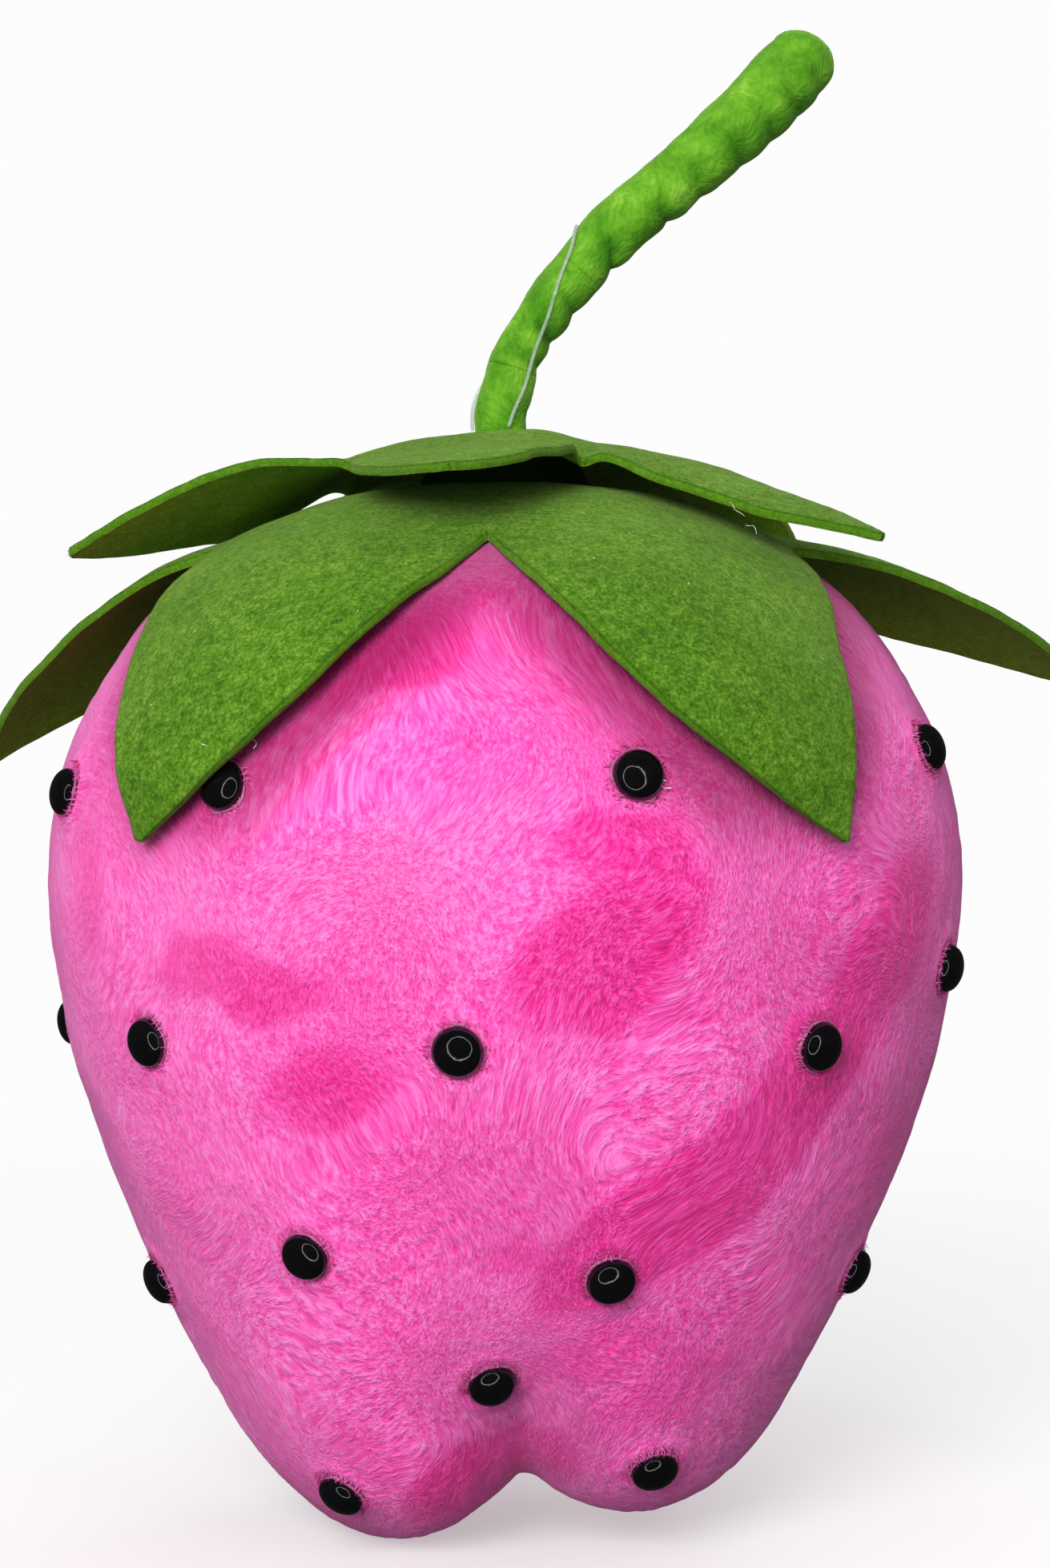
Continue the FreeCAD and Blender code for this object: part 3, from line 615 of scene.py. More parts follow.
def bead_material():
    mat = Material("black_bead")
    place = mat.coord()
    color = mat.ramp(mat.noise(place, 0.9, detail=2.0), [(0.0, 4, 4, 5), (1.0, 12, 12, 14)])
    dust = mat.noise(place, 7.0, detail=2.0, rough=0.6)
    dust = mat.remap(dust, (0.70, 0.80), to=(0.0, 0.10))
    color = mat.mix(dust, color, srgb(120, 118, 120))
    rough = mat.noise(place, 2.6, detail=3.0, rough=0.6)
    rough = mat.remap(rough, (0.3, 0.7), to=(0.045, 0.11))
    waves = mat.noise(place, 1.3, detail=1.0)
    mat.surface(Base_Color=color, Roughness=rough, Specular_IOR_Level=0.55,
                Normal=mat.bump(waves, strength=0.08, distance=0.2))
    return mat.material


def clear_material(name, dark, light, rough, bump=None, scale=1.6, detail=3.0,
                   noise_rough=0.6, **inputs):
    """Glue or plastic: one noise drives the colour, the roughness range and any bump."""
    mat = Material(name)
    noise = mat.noise(mat.coord(), scale, detail, noise_rough)
    inputs["Base_Color"] = mat.ramp(noise, [(0.0, *dark), (1.0, *light)])
    inputs["Roughness"] = mat.remap(noise, (0.3, 0.7), to=rough)
    if bump:
        inputs["Normal"] = mat.bump(noise, strength=bump, distance=0.3)
    mat.surface(**inputs)
    return mat.material


def plain_material(name, dark, light, scale, rough, bump, bump_depth, metallic=0.0,
                   stretch=(1, 1, 1)):
    """Two colours mottled by one stretched noise."""
    mat = Material(name)
    place = mat.vector("MULTIPLY", mat.coord(), stretch)
    noise = mat.noise(place, scale, detail=3.0, rough=0.6)
    color = mat.ramp(mat.remap(noise, (0.3, 0.7)), [(0.0, *dark), (1.0, *light)])
    rough = mat.remap(noise, (0.3, 0.7), to=(rough * 0.85, min(1.0, rough * 1.1)))
    mat.surface(Base_Color=color, Roughness=rough, Metallic=metallic,
                Normal=mat.bump(noise, bump, bump_depth))
    return mat.material


PLUSH, FELT, STEM, BEAD = plush_material(), felt_material(), stem_material(), bead_material()
GLUE = clear_material("cured_glue", (176, 62, 124), (222, 140, 186), rough=(0.18, 0.4), bump=0.5,
                      Transmission_Weight=0.35, Subsurface_Weight=0.2, Subsurface_Scale=0.001)
STRAND = clear_material("clear_strand", (196, 216, 196), (230, 240, 232), rough=(0.10, 0.22),
                        scale=1.1, detail=2.0, noise_rough=0.5,
                        Transmission_Weight=0.55, Alpha=0.5, IOR=1.45)
FOOT_GLUE = clear_material("glue_over_felt", (26, 50, 8), (52, 86, 22), rough=(0.35, 0.6),
                           bump=0.6, Transmission_Weight=0.2)
STUFFING = plain_material("fibre_filling", (216, 214, 208), (250, 249, 246), scale=0.9,
                          rough=0.95, bump=0.8, bump_depth=0.6)
THREAD = plain_material("sewing_thread", (176, 40, 110), (228, 96, 164), scale=2.2, rough=0.7,
                        bump=0.8, bump_depth=0.1, stretch=(1, 1, 3))
WIRE = plain_material("soft_wire", (120, 120, 124), (170, 170, 172), scale=1.2, rough=0.35,
                      bump=0.2, bump_depth=0.05, metallic=1.0, stretch=(1, 1, 0.3))
LINT = plain_material("pale_lint", (206, 214, 190), (244, 246, 238), scale=2.0, rough=0.6,
                      bump=0.2, bump_depth=0.05)


# ----------------------------------------------------------------- bead places
def islands(work):
    """The connected groups of vertices of a bmesh."""
    seen = set()
    for first in work.verts:
        if first.index in seen:
            continue
        seen.add(first.index)
        stack, island = [first], []
        while stack:
            vert = stack.pop()
            island.append(vert)
            for edge in vert.link_edges:
                other = edge.other_vert(vert)
                if other.index not in seen:
                    seen.add(other.index)
                    stack.append(other)
        yield island


def flat_back(island):
    """Centre of a bead's largest flat side, and the direction away from it."""
    sides = {}
    for face in {face for vert in island for face in vert.link_faces}:
        key = tuple(round(c, 2) for c in face.normal)
        side = sides.setdefault(key, [0.0, Vector(), Vector()])
        size = face.calc_area()
        side[0] += size
        side[1] += face.normal * size
        side[2] += face.calc_center_median() * size
    size, normal, centre = max(sides.values(), key=lambda side: side[0])
    return np.array(centre / size) * 1000, -np.array(normal.normalized())


def bead_places():
    """Each seed bead of the CAD: (node, flat back's centre, outward normal)."""
    places = []
    for node in sorted(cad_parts):
        if "seed_beads" not in node:
            continue
        work = bmesh.new()
        work.from_mesh(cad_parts[node].data)
        bmesh.ops.remove_doubles(work, verts=work.verts, dist=1e-6)
        places += [(node, *flat_back(island)) for island in islands(work)]
        work.free()
    return places


BEADS = bead_places()

# ------------------------------------------------------------------ the fruit
# darker patches of pile:
# (azimuth, height, half width in degrees, half height, strength, rise to the right)
NAP = [
    (13, 79, 13, 8.5, 1.0, 0.5), (25, 49, 18, 8.5, 1.0, 0.6), (38, 60, 12, 10, 0.9, 0.7),
    (-33, 75, 12, 4.5, 0.75, -0.2), (14, 91, 9, 4.5, 0.8, 0.0), (-14, 113, 11, 6, 0.7, 0.3),
    (-22, 62, 9, 5.0, 0.65, 0.2), (-3, 12, 11, 7, 0.85, 0.4), (52, 77, 12, 10, 0.85, 0.6),
    (-38, 94, 7, 4, 0.5, 0.0), (4, 42, 7, 3, 0.45, 0.3), (-30, 15, 7, 4, 0.45, 0.0),
    (66, 50, 8, 9, 0.5, 0.4), (-58, 84, 6, 10, 0.5, 0.0), (-52, 45, 7, 9, 0.35, 0.2),
    (30, 24, 12, 5, 0.45, 0.4), (2, 100, 16, 6, 0.35, 0.0), (16, 30, 10, 5, 0.5, 0.2),
    (100, 80, 14, 9, 0.8, 0.4), (128, 46, 15, 8, 0.8, -0.3), (150, 90, 14, 9, 0.8, 0.3),
    (176, 60, 14, 10, 0.9, 0.5), (-150, 84, 12, 8, 0.7, -0.4), (-128, 52, 14, 8, 0.8, 0.4),
    (-100, 88, 12, 10, 0.7, 0.2), (-165, 28, 14, 7, 0.7, 0.0), (120, 20, 12, 6, 0.6, 0.2),
    (-88, 40, 10, 8, 0.5, 0.0), (168, 110, 12, 6, 0.6, 0.0), (-110, 22, 12, 6, 0.6, 0.1),
]


def half_sheet(front, offset, cols, rows):
    """Grid of points on half the fruit, with each one's outline radius and angle round Z."""
    outline, normal = outline_at(np.linspace(0, 1, rows + 1))
    normal[0] = normal[-1] = (-1, 0)
    radius, height = outline.T[:, :, None]
    moved_r, moved_z = (outline + normal * offset).T[:, :, None]
    share = np.linspace(0, 1, cols + 1)[None, :]
    turn = -math.pi * share if front else math.pi * (1 - share)
    x, y = moved_r * np.cos(turn), moved_r * np.sin(turn)
    lift = cleft_lift(radius * np.cos(turn), radius * np.sin(turn), height, radius)
    return np.stack([x, y, moved_z + lift], 2), radius + 0 * x, turn + 0 * x


def pile_noise(points):
    """Displacement of the pile's face in mm."""
    wander = [vnoise(points / 30.0 + shift, seed) for shift, seed in ((5, 3), (9, 4), (2, 5))]
    bent = points + 11.0 * np.stack(wander, -1)
    clump = vnoise(bent * np.array([0.62, 0.62, 0.22]), 11)
    small_clump = vnoise(bent * np.array([1.1, 1.1, 0.42]) + 40, 12)
    lumps = fbm(points / 26.0, 2, 21)
    middle = fbm(points / 8.0 + 3, 2, 22)
    return 0.32 * lumps + 0.12 * middle + 0.08 * clump + 0.07 * small_clump


def fruit_relief(points, radius, turn):
    """How far the pile's face stands off the plain sheet."""
    x, y, z = np.moveaxis(points, -1, 0)
    # the gathers: pleats round the bottom dimple and the top one
    wander = 2.0 * vnoise(np.stack([turn * 2, z / 15, 0 * z], -1), 31)
    bottom = np.cos(turn * 13 + wander) * 0.55
    bottom = bottom * smooth((19 - radius) / 12.0) * smooth((radius - 2.5) / 3.0) * (z < 60)
    top = np.cos(turn * 17 + 0.7) * 0.5 * smooth((14 - radius) / 8.0) * (z > 60)
    relief = pile_noise(points) + bottom + top
    # a winding crease that leaves the cleft on the front and back
    crease = np.exp(-((x - CLEFT_X - 1.6 * np.sin(z / 5.5)) / 2.1) ** 2)
    crease = crease * smooth((30 - z) / 22.0) * smooth((z - 1.0) / 5.0)
    relief = relief - 0.6 * crease * (z < 60)
    # the cloth dips a little along the side seams
    relief = relief - 0.35 * np.exp(-(y / 1.1) ** 2) * (np.abs(x) > 12)
    # the pile stands round each bead and lies flat under it
    for _, centre, _ in BEADS:
        away = np.linalg.norm(points - centre, axis=2)
        relief = relief * (1 - np.exp(-(away / 4.2) ** 4) * 0.8)
        relief = relief + 0.30 * np.exp(-((away - 4.3) / 1.0) ** 2)
        relief = relief - 0.15 * np.exp(-(away / 3.0) ** 4)
    return relief


def nap_patches(points, radius, azimuth):
    """How dark the pile lies, 0 to 1."""
    z = points[..., 2]
    wobble = vnoise(points / 7.0, 41) * 2.2 + vnoise(points / 2.6, 42) * 0.9
    side_wobble = vnoise(points / 9.0 + 30, 43) * 2.4
    nap = np.zeros_like(z)
    for at, height, half_angle, half_height, strength, rise in NAP:
        turn = (azimuth - at + 180) % 360 - 180
        across = np.radians(turn) * np.maximum(radius, 20) + side_wobble
        above = z - height - rise * across + wobble
        away = (across / (math.radians(half_angle) * 55)) ** 2 + (above / half_height) ** 2
        nap = np.maximum(nap, strength * np.exp(-away ** 2.4 * 0.7))
    return np.clip(nap + 0.10 * fbm(points / 14.0, 3, 44), 0, 1)


def leaf_shade(points, azimuth):
    """How much painted shade falls on the pile under the lower felt star, 0 to 1."""
    from_notch = (azimuth - LOW_NOTCH_AZ + HALF_STEP) % SIDE_STEP - HALF_STEP
    foot = 124.0 - 26.0 * np.clip(np.abs(from_notch) / 27.0, 0, 1) ** 1.15
    return smooth((points[..., 2] - (foot - 12.0)) / 11.0)


def make_fruit_half(side):
    front = side == "front"
    cols, rows = ((262, 330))
    outer, radius, turn = half_sheet(front, 0.0, cols, rows)
    inner, _, _ = half_sheet(front, -CLOTH_THICK, cols, rows)
    normals = unit(np.cross(np.gradient(outer, axis=1), np.gradient(outer, axis=0)))
    relief = fruit_relief(outer, radius, turn)
    row = np.arange(rows + 1)
    fade = smooth(np.minimum(row, rows - row) / 3.0)[:, None]
    face = outer + normals * (relief * fade)[..., None]
    # pressed flat where it rests
    low = (face[..., 2] < 0.06) & (radius > 4)
    face[..., 2] = np.where(low, 0.04 + 0.02 * np.abs(relief), face[..., 2])
    low = (inner[..., 2] < 1.5) & (radius > 4)
    inner[..., 2] = np.where(low, 1.5, inner[..., 2])
    # the halves meet on the seam plane
    seam_y = -0.01 if front else 0.01
    for sheet in (face, inner):
        sheet[:, 0, 1] = sheet[:, -1, 1] = seam_y

    azimuth = np.degrees(np.arctan2(outer[..., 0], -outer[..., 1]))
    nr, nc = rows + 1, cols + 1
    mesh = Builder()
    mesh.add(face, nap=nap_patches(outer, radius, azimuth), shade=leaf_shade(face, azimuth))
    back = mesh.add(inner, nap=0.3, shade=0.0)
    faces = grid_faces(nr, nc) + grid_faces(nr, nc, start=back, flip=True)
    # walls along the seams, then round the top and bottom openings
    for i in range(nr - 1):
        for j in (0, nc - 1):
            a, b = i * nc + j, (i + 1) * nc + j
            faces.append((a, b, back + b, back + a))
    for j in range(nc - 1):
        for i in (0, nr - 1):
            a = i * nc + j
            faces.append((a, a + 1, back + a + 1, back + a))
    mesh.stitch(faces)
    mesh.finish("plush_" + side, PLUSH, "fruit", side + "_body_panel")


for side in ("front", "back"):
    make_fruit_half(side)

# ---------------------------------------------------------------------- seeds
# half outline of a bead from its flat back to its crown: (radius, height)
BEAD_R, BEAD_RIM, BEAD_TOP = 2.99, 0.5, 2.38
BEAD_PROFILE = [(0, 0.0), (2.6, 0.0), (2.85, 0.04), (2.97, 0.16), (3.0, 0.34), (BEAD_R, BEAD_RIM)]
for k in range(1, 22):
    angle = math.pi / 2 * k / 22
    BEAD_PROFILE.append((BEAD_R * math.cos(angle) ** 0.96,
                         BEAD_RIM + (BEAD_TOP - BEAD_RIM) * math.sin(angle)))
BEAD_PROFILE.append((0, BEAD_TOP))


def make_beads():
    verts, faces = lathe(BEAD_PROFILE, 56)
    for node in dict.fromkeys(bead[0] for bead in BEADS):
        mesh = Builder()
        for owner, centre, normal in BEADS:
            if owner == node:
                # the beads sit down in the pile, each leaning a little differently
                lean = np.array([vnoise(centre / 5.0, seed) for seed in (51, 52, 53)]) * 0.07
                mesh.add(place(verts, centre - normal * 0.30, normal + lean), faces)
        mesh.finish(node.replace("seed_beads", "seeds"), BEAD, "fruit", node,
                    recalc=False)


def glue_ring(centre, normal, seed):
    """An uneven fillet of glue round a bead's foot."""
    around, section = 72, 10
    inner_r, sink = 2.92, 0.22
    turn = 2 * math.pi * np.arange(around) / around
    spot = np.stack([np.cos(turn) * 1.3 + seed, np.sin(turn) * 1.3, seed * 0.37 + 0 * turn], -1)
    half_width = 0.15 + 0.17 * vnoise(spot * 1.5, 61) + 0.07 * vnoise(spot * 5, 62)
    half_width = np.maximum(half_width, 0.06)[:, None]
    height = np.maximum(0.26 + 0.14 * vnoise(spot * 2.0 + 9, 63), 0.12)[:, None]
    tilt = 2 * math.pi * np.arange(section) / section
    radius = inner_r + half_width + half_width * np.cos(tilt)
    # the lower half of the section is half as deep
    lift = height * np.sin(tilt) * np.where(np.sin(tilt) > 0, 1.0, 0.5)
    turn = turn[:, None]
    verts = np.stack([radius * np.cos(turn), radius * np.sin(turn), lift], -1).reshape(-1, 3)
    faces = grid_faces(around, section, wrap=True, wrap_rows=True, flip=True)
    return place(verts, centre - normal * sink, normal), faces


def make_glue_fillets(side):
    mesh = Builder()
    for i, (node, centre, normal) in enumerate(BEADS):
        if node.startswith(side):
            mesh.add(*glue_ring(centre, normal, 1.0 + i * 3.7))
    mesh.finish(side + "_glue_fillets", GLUE, "fruit", side + "_seed_glue_dots")


def make_bead_pile(side, rng):
    """Pile that leans over the foot of each bead."""
    mesh = Builder()
    for node, centre, normal in BEADS:
        if not node.startswith(side):
            continue
        axes = axes_about(normal)
        for _ in range(110):
            angle = rng.uniform(0, 2 * math.pi)
            outward = math.cos(angle) * axes[0] + math.sin(angle) * axes[1]
            around = -math.sin(angle) * axes[0] + math.cos(angle) * axes[1]
            root = centre + outward * rng.uniform(3.25, 4.3) - normal * 0.55
            lean = rng.uniform(-0.1, 0.75)
            along = unit(normal - outward * lean + around * rng.uniform(-0.6, 0.6))
            verts, faces = blade(root, along, around, length=rng.uniform(0.7, 1.35),
                                 width=rng.uniform(0.16, 0.34),
                                 curl=-outward * rng.uniform(0.0, 0.35))
            mesh.add(verts, faces, nap=rng.uniform(0.0, 0.6))
    mesh.finish(side + "_pile_at_seeds", PLUSH, "fruit")


make_beads()
for side in ("front", "back"):
    make_glue_fillets(side)
pile_rng = np.random.default_rng(7)
for side in ("front", "back"):
    make_bead_pile(side, pile_rng)

# ----------------------------------------------------------------------- felt
# the upper star's underside from the stem outward: (radius, z)
UP_LINE = [(2.5, 141.8), (6.0, 141.9), (10.0, 141.8), (15.0, 141.4),
           (19.4, 140.4), (22.0, 139.4), (24.2, 137.9), (26.0, 136.8)]
UP_CURVE = Spline(UP_LINE).raw(np.linspace(0, 1, 400))


def low_bottom(radius):
    radius = np.asarray(radius, float)
    on_fruit = np.interp(np.maximum(radius, LOW_FLAT_R), TOP_LINE[:, 0], TOP_LINE[:, 1])
    return np.where(radius > LOW_FLAT_R, np.minimum(LOW_TOP, on_fruit), LOW_TOP)


def up_bottom(radius):
    return np.interp(radius, UP_CURVE[:, 0], UP_CURVE[:, 1])


class Star(NamedTuple):
    bottom: Callable  # height of the underside at a radius
    apothem: float    # from the axis to the middle of the hub's sides
    azimuth: float    # of the middle of the first side
    bore: float       # radius of the hole for the stem
    tilt: float       # degrees


LOWER = Star(low_bottom, LOW_NOTCH_R * COS_HALF, LOW_NOTCH_AZ + HALF_STEP, 3.0, 0.0)
UPPER = Star(up_bottom, UP_NOTCH_R * COS_HALF, UP_LEAF_AZ, 2.6, UP_TILT)


def tilted(points, degrees):
    """Turned about the Y direction through TILT_AT; +X rises."""
    cos, sin = math.cos(math.radians(degrees)), math.sin(math.radians(degrees))
    x, z = points[..., 0] - TILT_AT[0], points[..., 2] - TILT_AT[1]
    return np.stack([TILT_AT[0] + x * cos - z * sin, points[..., 1],
                     TILT_AT[1] + z * cos + x * sin], -1)


def settled(points, star):
    """The star's own tilt; the tilted star also hangs a little lower on its right."""
    points = tilted(points, star.tilt)
    if star.tilt:
        points[..., 2] -= 1.3 * smooth((points[..., 0] - 3.5) / 9.0)
    return points


def turned(points, azimuth):
    """From a leaf's own frame, +X outward, to its azimuth."""
    angle = math.radians(azimuth - 90)
    cos, sin = math.cos(angle), math.sin(angle)
    x, y = points[..., 0], points[..., 1]
    return np.stack([x * cos - y * sin, x * sin + y * cos, points[..., 2]], -1)


def felt_thickness(points):
    return FELT_THICK * (1 + 0.05 * vnoise(points / 6.0, 90)) + 0.035 * vnoise(points / 0.9, 91)


def leaf_half_widths(table, s, root_half):
    """Smooth half widths along the leaf that flare to the hub's side at the root."""
    spread = 40  # lengthens the table's first column, so the spline bends evenly
    curve = Spline([(share * spread, half) for share, half in table]).raw(np.linspace(0, 1, 400))
    half = np.maximum(np.interp(s * spread, curve[:, 0], curve[:, 1]), 0.35)
    return half + (root_half - half[0]) * np.exp(-s * 9)


def leaf_columns(left, right):
    """Places across each row: three close to each edge and an even spread between."""
    insets = (0.0, 0.22, 0.5)
    margin = np.minimum(0.9, 0.75 * np.minimum(left, right))
    columns = [-(left - np.minimum(inset, left * 0.6)) for inset in insets]
    for share in np.linspace(-1, 1, 56):
        columns.append(share * ((left if share < 0 else right) - margin))
    columns += [right - np.minimum(inset, right * 0.6) for inset in insets[::-1]]
    return np.stack(columns, 1)


def leaf_sheets(star, azimuth, seed, line, widths, bow, sideways, round_r, roll, bulge):
    """Grids of the leaf's top, underside, distance from the cut and from the root; its length."""
    root_x = star.apothem + HINGE_GAP
    curve = Spline([(root_x, float(star.bottom(root_x)))] + list(line))
    length = curve.length
    s = np.r_[np.linspace(0, 1 - 1.2 / length, 72),
              1 - 0.8 / length, 1 - 0.4 / length, 1 - 0.15 / length, 1.0]
    centre, tangent = curve.at(s)
    half = leaf_half_widths(widths, s, root_x * math.tan(math.radians(HALF_STEP)))
    centre = np.stack([centre[:, 0], 0 * s, centre[:, 1]], -1)
    # cut with scissors: not quite even
    spine = turned(centre, azimuth)
    cuts = [0.22 * vnoise(spine / 5.0 + shift, seed + k)
            + 0.07 * vnoise(spine / 1.1 + fine_shift, seed + k + 1)
            for k, shift, fine_shift in ((0, 11, 0), (2, 71, 9))]
    left, right = (np.maximum(half + cut * smooth(s * length / 5.0), 0.25) for cut in cuts)
    across = leaf_columns(left, right)
    share = s[:, None] + 0 * across
    run = share * length

    # up turns from vertical at the root to the centre line's normal
    turn = smooth(share / 0.35)[..., None]
    normal = np.stack([-tangent[:, 1], 0 * s, tangent[:, 0]], -1)[:, None, :]
    up = unit(np.array([0, 0, 1.0]) * (1 - turn) + normal * turn)
    base = centre[:, None, :] + 0 * up
    half = half[:, None]
    rise = bow * (across / half) ** 2 * smooth(share * 3) * np.minimum(1.0, half / 8.0)
    sheet = base + up * (rise - across ** 2 / (2 * round_r))[..., None]
    # the root follows the hub's edge
    root_z = star.bottom(np.hypot(root_x, across)) + (base[..., 2] - base[0:1, :, 2])
    root_sheet = np.stack([base[..., 0], 0 * across, root_z], -1)
    near_root = np.exp(-(run / 2.2) ** 2)[..., None]
    sheet = sheet * (1 - near_root) + root_sheet * near_root
    sheet[..., 1] = across + sideways * share ** 2 + bulge * 6.75 * share * share * (1 - share)
    sheet[..., 2] += math.tan(math.radians(roll)) * across * smooth(share * 2.2)

    under = settled(turned(sheet, azimuth), star)
    up = tilted(turned(up, azimuth), star.tilt) - tilted(np.zeros(3), star.tilt)
    # the felt's own waviness
    waves = 0.45 * fbm(under / 17.0, 2, seed + 5) + 0.10 * vnoise(under / 3.5, seed + 6)
    under = under + up * (waves * smooth(run / 7.0))[..., None]
    edge = np.minimum(across + left[:, None], right[:, None] - across)
    edge = np.minimum(edge, (1 - share) * length * 0.9)
    thin = 0.10 * np.exp(-(edge / 0.5) ** 2) * smooth(run / 2.0)
    top = under + up * (felt_thickness(under) - thin)[..., None]
    return top, under, edge, run, length


def add_cut_edge(mesh, top, under, under_start, length, seed):
    """Joins the leaf's faces by a bulged, ragged cut edge and a plain root wall."""
    rows, cols = top.shape[:2]
    path = [(i, 0) for i in range(rows)] + [(rows - 1, j) for j in range(1, cols)]
    path += [(i, cols - 1) for i in range(rows - 2, -1, -1)]
    row, col = np.array(path).T
    upper, lower = top[row, col], under[row, col]
    along = unit(np.r_[upper[1:], upper[-1:]] - np.r_[upper[:1], upper[:-1]])
    outward = unit(np.cross(along, upper - lower))
    soft = smooth((row / (rows - 1)) * length / 2.0)
    index = row * cols + col
    chains = [index]
    for share, bulge in ((0.78, 0.10), (0.5, 0.15), (0.22, 0.10)):
        ragged = vnoise(upper / 0.8 + share * 30, seed + 12) * 0.09
        chain = lower + (upper - lower) * share + outward * ((bulge + ragged) * soft)[:, None]
        chains.append(mesh.add(chain, under=0.25, rim=soft) + np.arange(len(path)))
    chains.append(under_start + index)
    faces = [(a[i], a[i + 1], b[i + 1], b[i])
             for a, b in zip(chains, chains[1:]) for i in range(len(path) - 1)]
    faces += [(j, under_start + j, under_start + j + 1, j + 1) for j in range(cols - 1)]
    faces.append([chain[0] for chain in chains])
    faces.append([chain[-1] for chain in chains[:1] + chains[:0:-1]])
    mesh.stitch(faces)
    add_stray_fibres(mesh, upper, lower, along, outward, soft, np.random.default_rng(seed))


def add_stray_fibres(mesh, upper, lower, along, outward, soft, rng):
    for _ in range(300):
        i = int(rng.integers(3, len(upper) - 3))
        if soft[i] < 0.6:
            continue
        through = upper[i] - lower[i]
        root = lower[i] + through * rng.uniform(0.1, 0.9)
        way = outward[i] + along[i] * rng.uniform(-1.1, 1.1)
        way = unit(way + through / FELT_THICK * rng.uniform(-0.6, 0.6))
        side = unit(np.cross(way, through))
        verts, faces = blade(root - way * 0.1, way, side, length=rng.uniform(0.25, 0.75),
                             width=rng.uniform(0.05, 0.10), curl=side * rng.uniform(-0.4, 0.4),
                             segments=2)
        mesh.add(verts, faces, rim=1.0)


def make_leaf(star, seed, name, step, *shape):
    azimuth = star.azimuth + step * SIDE_STEP
    top, under, edge, run, length = leaf_sheets(star, azimuth, seed, *shape)
    rows, cols = top.shape[:2]
    # attributes: a dark line on the cut, a paler rim beside it, and the underside
    soft = smooth(run / 1.5)
    line = np.zeros((rows, cols))
    line[:, [0, -1]] = 1.0
    line[:, [1, -2]] = 0.35
    line[-1, :] = 1.0
    line *= soft
    rim = np.exp(-(edge / 0.35) ** 2) * soft * 0.3
    mesh = Builder()
    mesh.add(top, grid_faces(rows, cols), under=0.0, rim=rim, line=line * 0.8)
    under_start = mesh.add(under, grid_faces(rows, cols, flip=True), under=1.0, line=line * 0.5)
    add_cut_edge(mesh, top, under, under_start, length, seed)
    obj = mesh.finish(name + "_felt", FELT, replaces=name, sharp=42)
    # a point just outside the hub and one further out along the leaf; nothing uses them
    angle = math.radians(azimuth)
    outward = np.array([math.sin(angle), -math.cos(angle), 0])
    height = np.array([0, 0, float(star.bottom(star.apothem)) + FELT_THICK])
    start, end = (tilted(outward * (star.apothem + reach) + height, star.tilt)
                  for reach in (0.3, 7.5))
    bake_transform(obj)


def make_hub(star, name, seed):
    """The middle of a felt star: a domed pentagon with a hole for the stem."""
    per_side = 24
    rows, cols = 34, 5 * per_side
    local = np.linspace(-HALF_STEP, HALF_STEP, per_side + 1)[:-1]
    angle = np.concatenate([local + SIDE_STEP * k for k in range(5)])
    edge_r = (star.apothem + HINGE_GAP) / np.cos(np.radians(np.tile(local, 5)))
    share = np.linspace(0, 1, rows)[:, None]
    radius = star.bore + (edge_r - star.bore) * share
    turn = np.radians(star.azimuth + angle)
    under = np.stack([radius * np.sin(turn), -radius * np.cos(turn), star.bottom(radius)], -1)
    fade = smooth((1 - share) * 4) * smooth(share * 4)
    under[..., 2] += 0.35 * fbm(under / 15.0, 2, seed) * fade
    top = under.copy()
    top[..., 2] += felt_thickness(under)
    mesh = Builder()
    mesh.add(settled(top, star), grid_faces(rows, cols, wrap=True), under=0.0, rim=0.0, line=0.0)
    back = mesh.add(settled(under, star), grid_faces(rows, cols, wrap=True, flip=True), under=1.0)
    rim = (rows - 1) * cols
    for j in range(cols):
        k = (j + 1) % cols
        mesh.stitch([(j, k, back + k, back + j),
                     (rim + j, back + rim + j, back + rim + k, rim + k)])
    mesh.finish(name + "_felt", FELT, "fruit", name, sharp=42)


def drape(stations):
    """Points (r, z) off the fruit's side, from (height, offset) stations."""
    line = []
    for z, offset in stations:
        radius, normal_r, normal_z = side_at(z)
        line.append((radius + normal_r * offset, z + normal_z * offset))
    return line


# half widths: (share of the length, half width)
LOW_W = [(0.0, 22.5), (0.15, 22.3), (0.4, 19.5), (0.69, 13.4), (0.85, 7.8), (0.95, 3.0),
         (1.0, 0.5)]
UP_W = [(0.0, 14.1), (0.15, 13.1), (0.4, 10.6), (0.69, 7.2), (0.85, 4.4), (0.95, 1.9), (1.0, 0.5)]
UP_FRONT_W = [(0.0, 14.1), (0.15, 14.0), (0.4, 12.9), (0.69, 9.4), (0.85, 6.0), (0.95, 2.7),
              (1.0, 0.5)]

# centre lines of the undersides, from the hub's edge outward: (r, z)
FRONT_LINE = drape([(123.0, 1.2), (118.0, 2.0), (112.0, 2.8), (105.0, 3.3), (98.0, 3.2),
                    (91.0, 1.6)])
BACK_LINE = drape([(123.0, 1.3), (118.0, 2.2), (112.0, 3.2), (106.0, 4.2), (100.0, 5.0)])
LEFT_LINE = [(40.0, 128.0), (50.0, 122.8), (59.0, 116.6), (68.0, 109.4), (77.5, 100.4)]
RIGHT_LINE = [(43.0, 128.2), (52.0, 125.0), (62.0, 121.0), (73.0, 116.2), (84.0, 110.6)]
UP_FRONT_LINE = [(27.0, 138.4), (35.0, 136.9), (42.0, 135.6), (48.5, 134.4)]
UP_LEFT_LINE = [(27.0, 137.8), (36.0, 135.3), (47.0, 132.8), (57.4, 129.9)]
UP_RIGHT_LINE = [(28.0, 137.6), (36.0, 134.4), (44.0, 131.0), (53.5, 126.8)]
UP_BACK_LEFT_LINE = [(28.0, 137.8), (38.0, 135.2), (47.0, 132.4), (55.0, 129.2)]
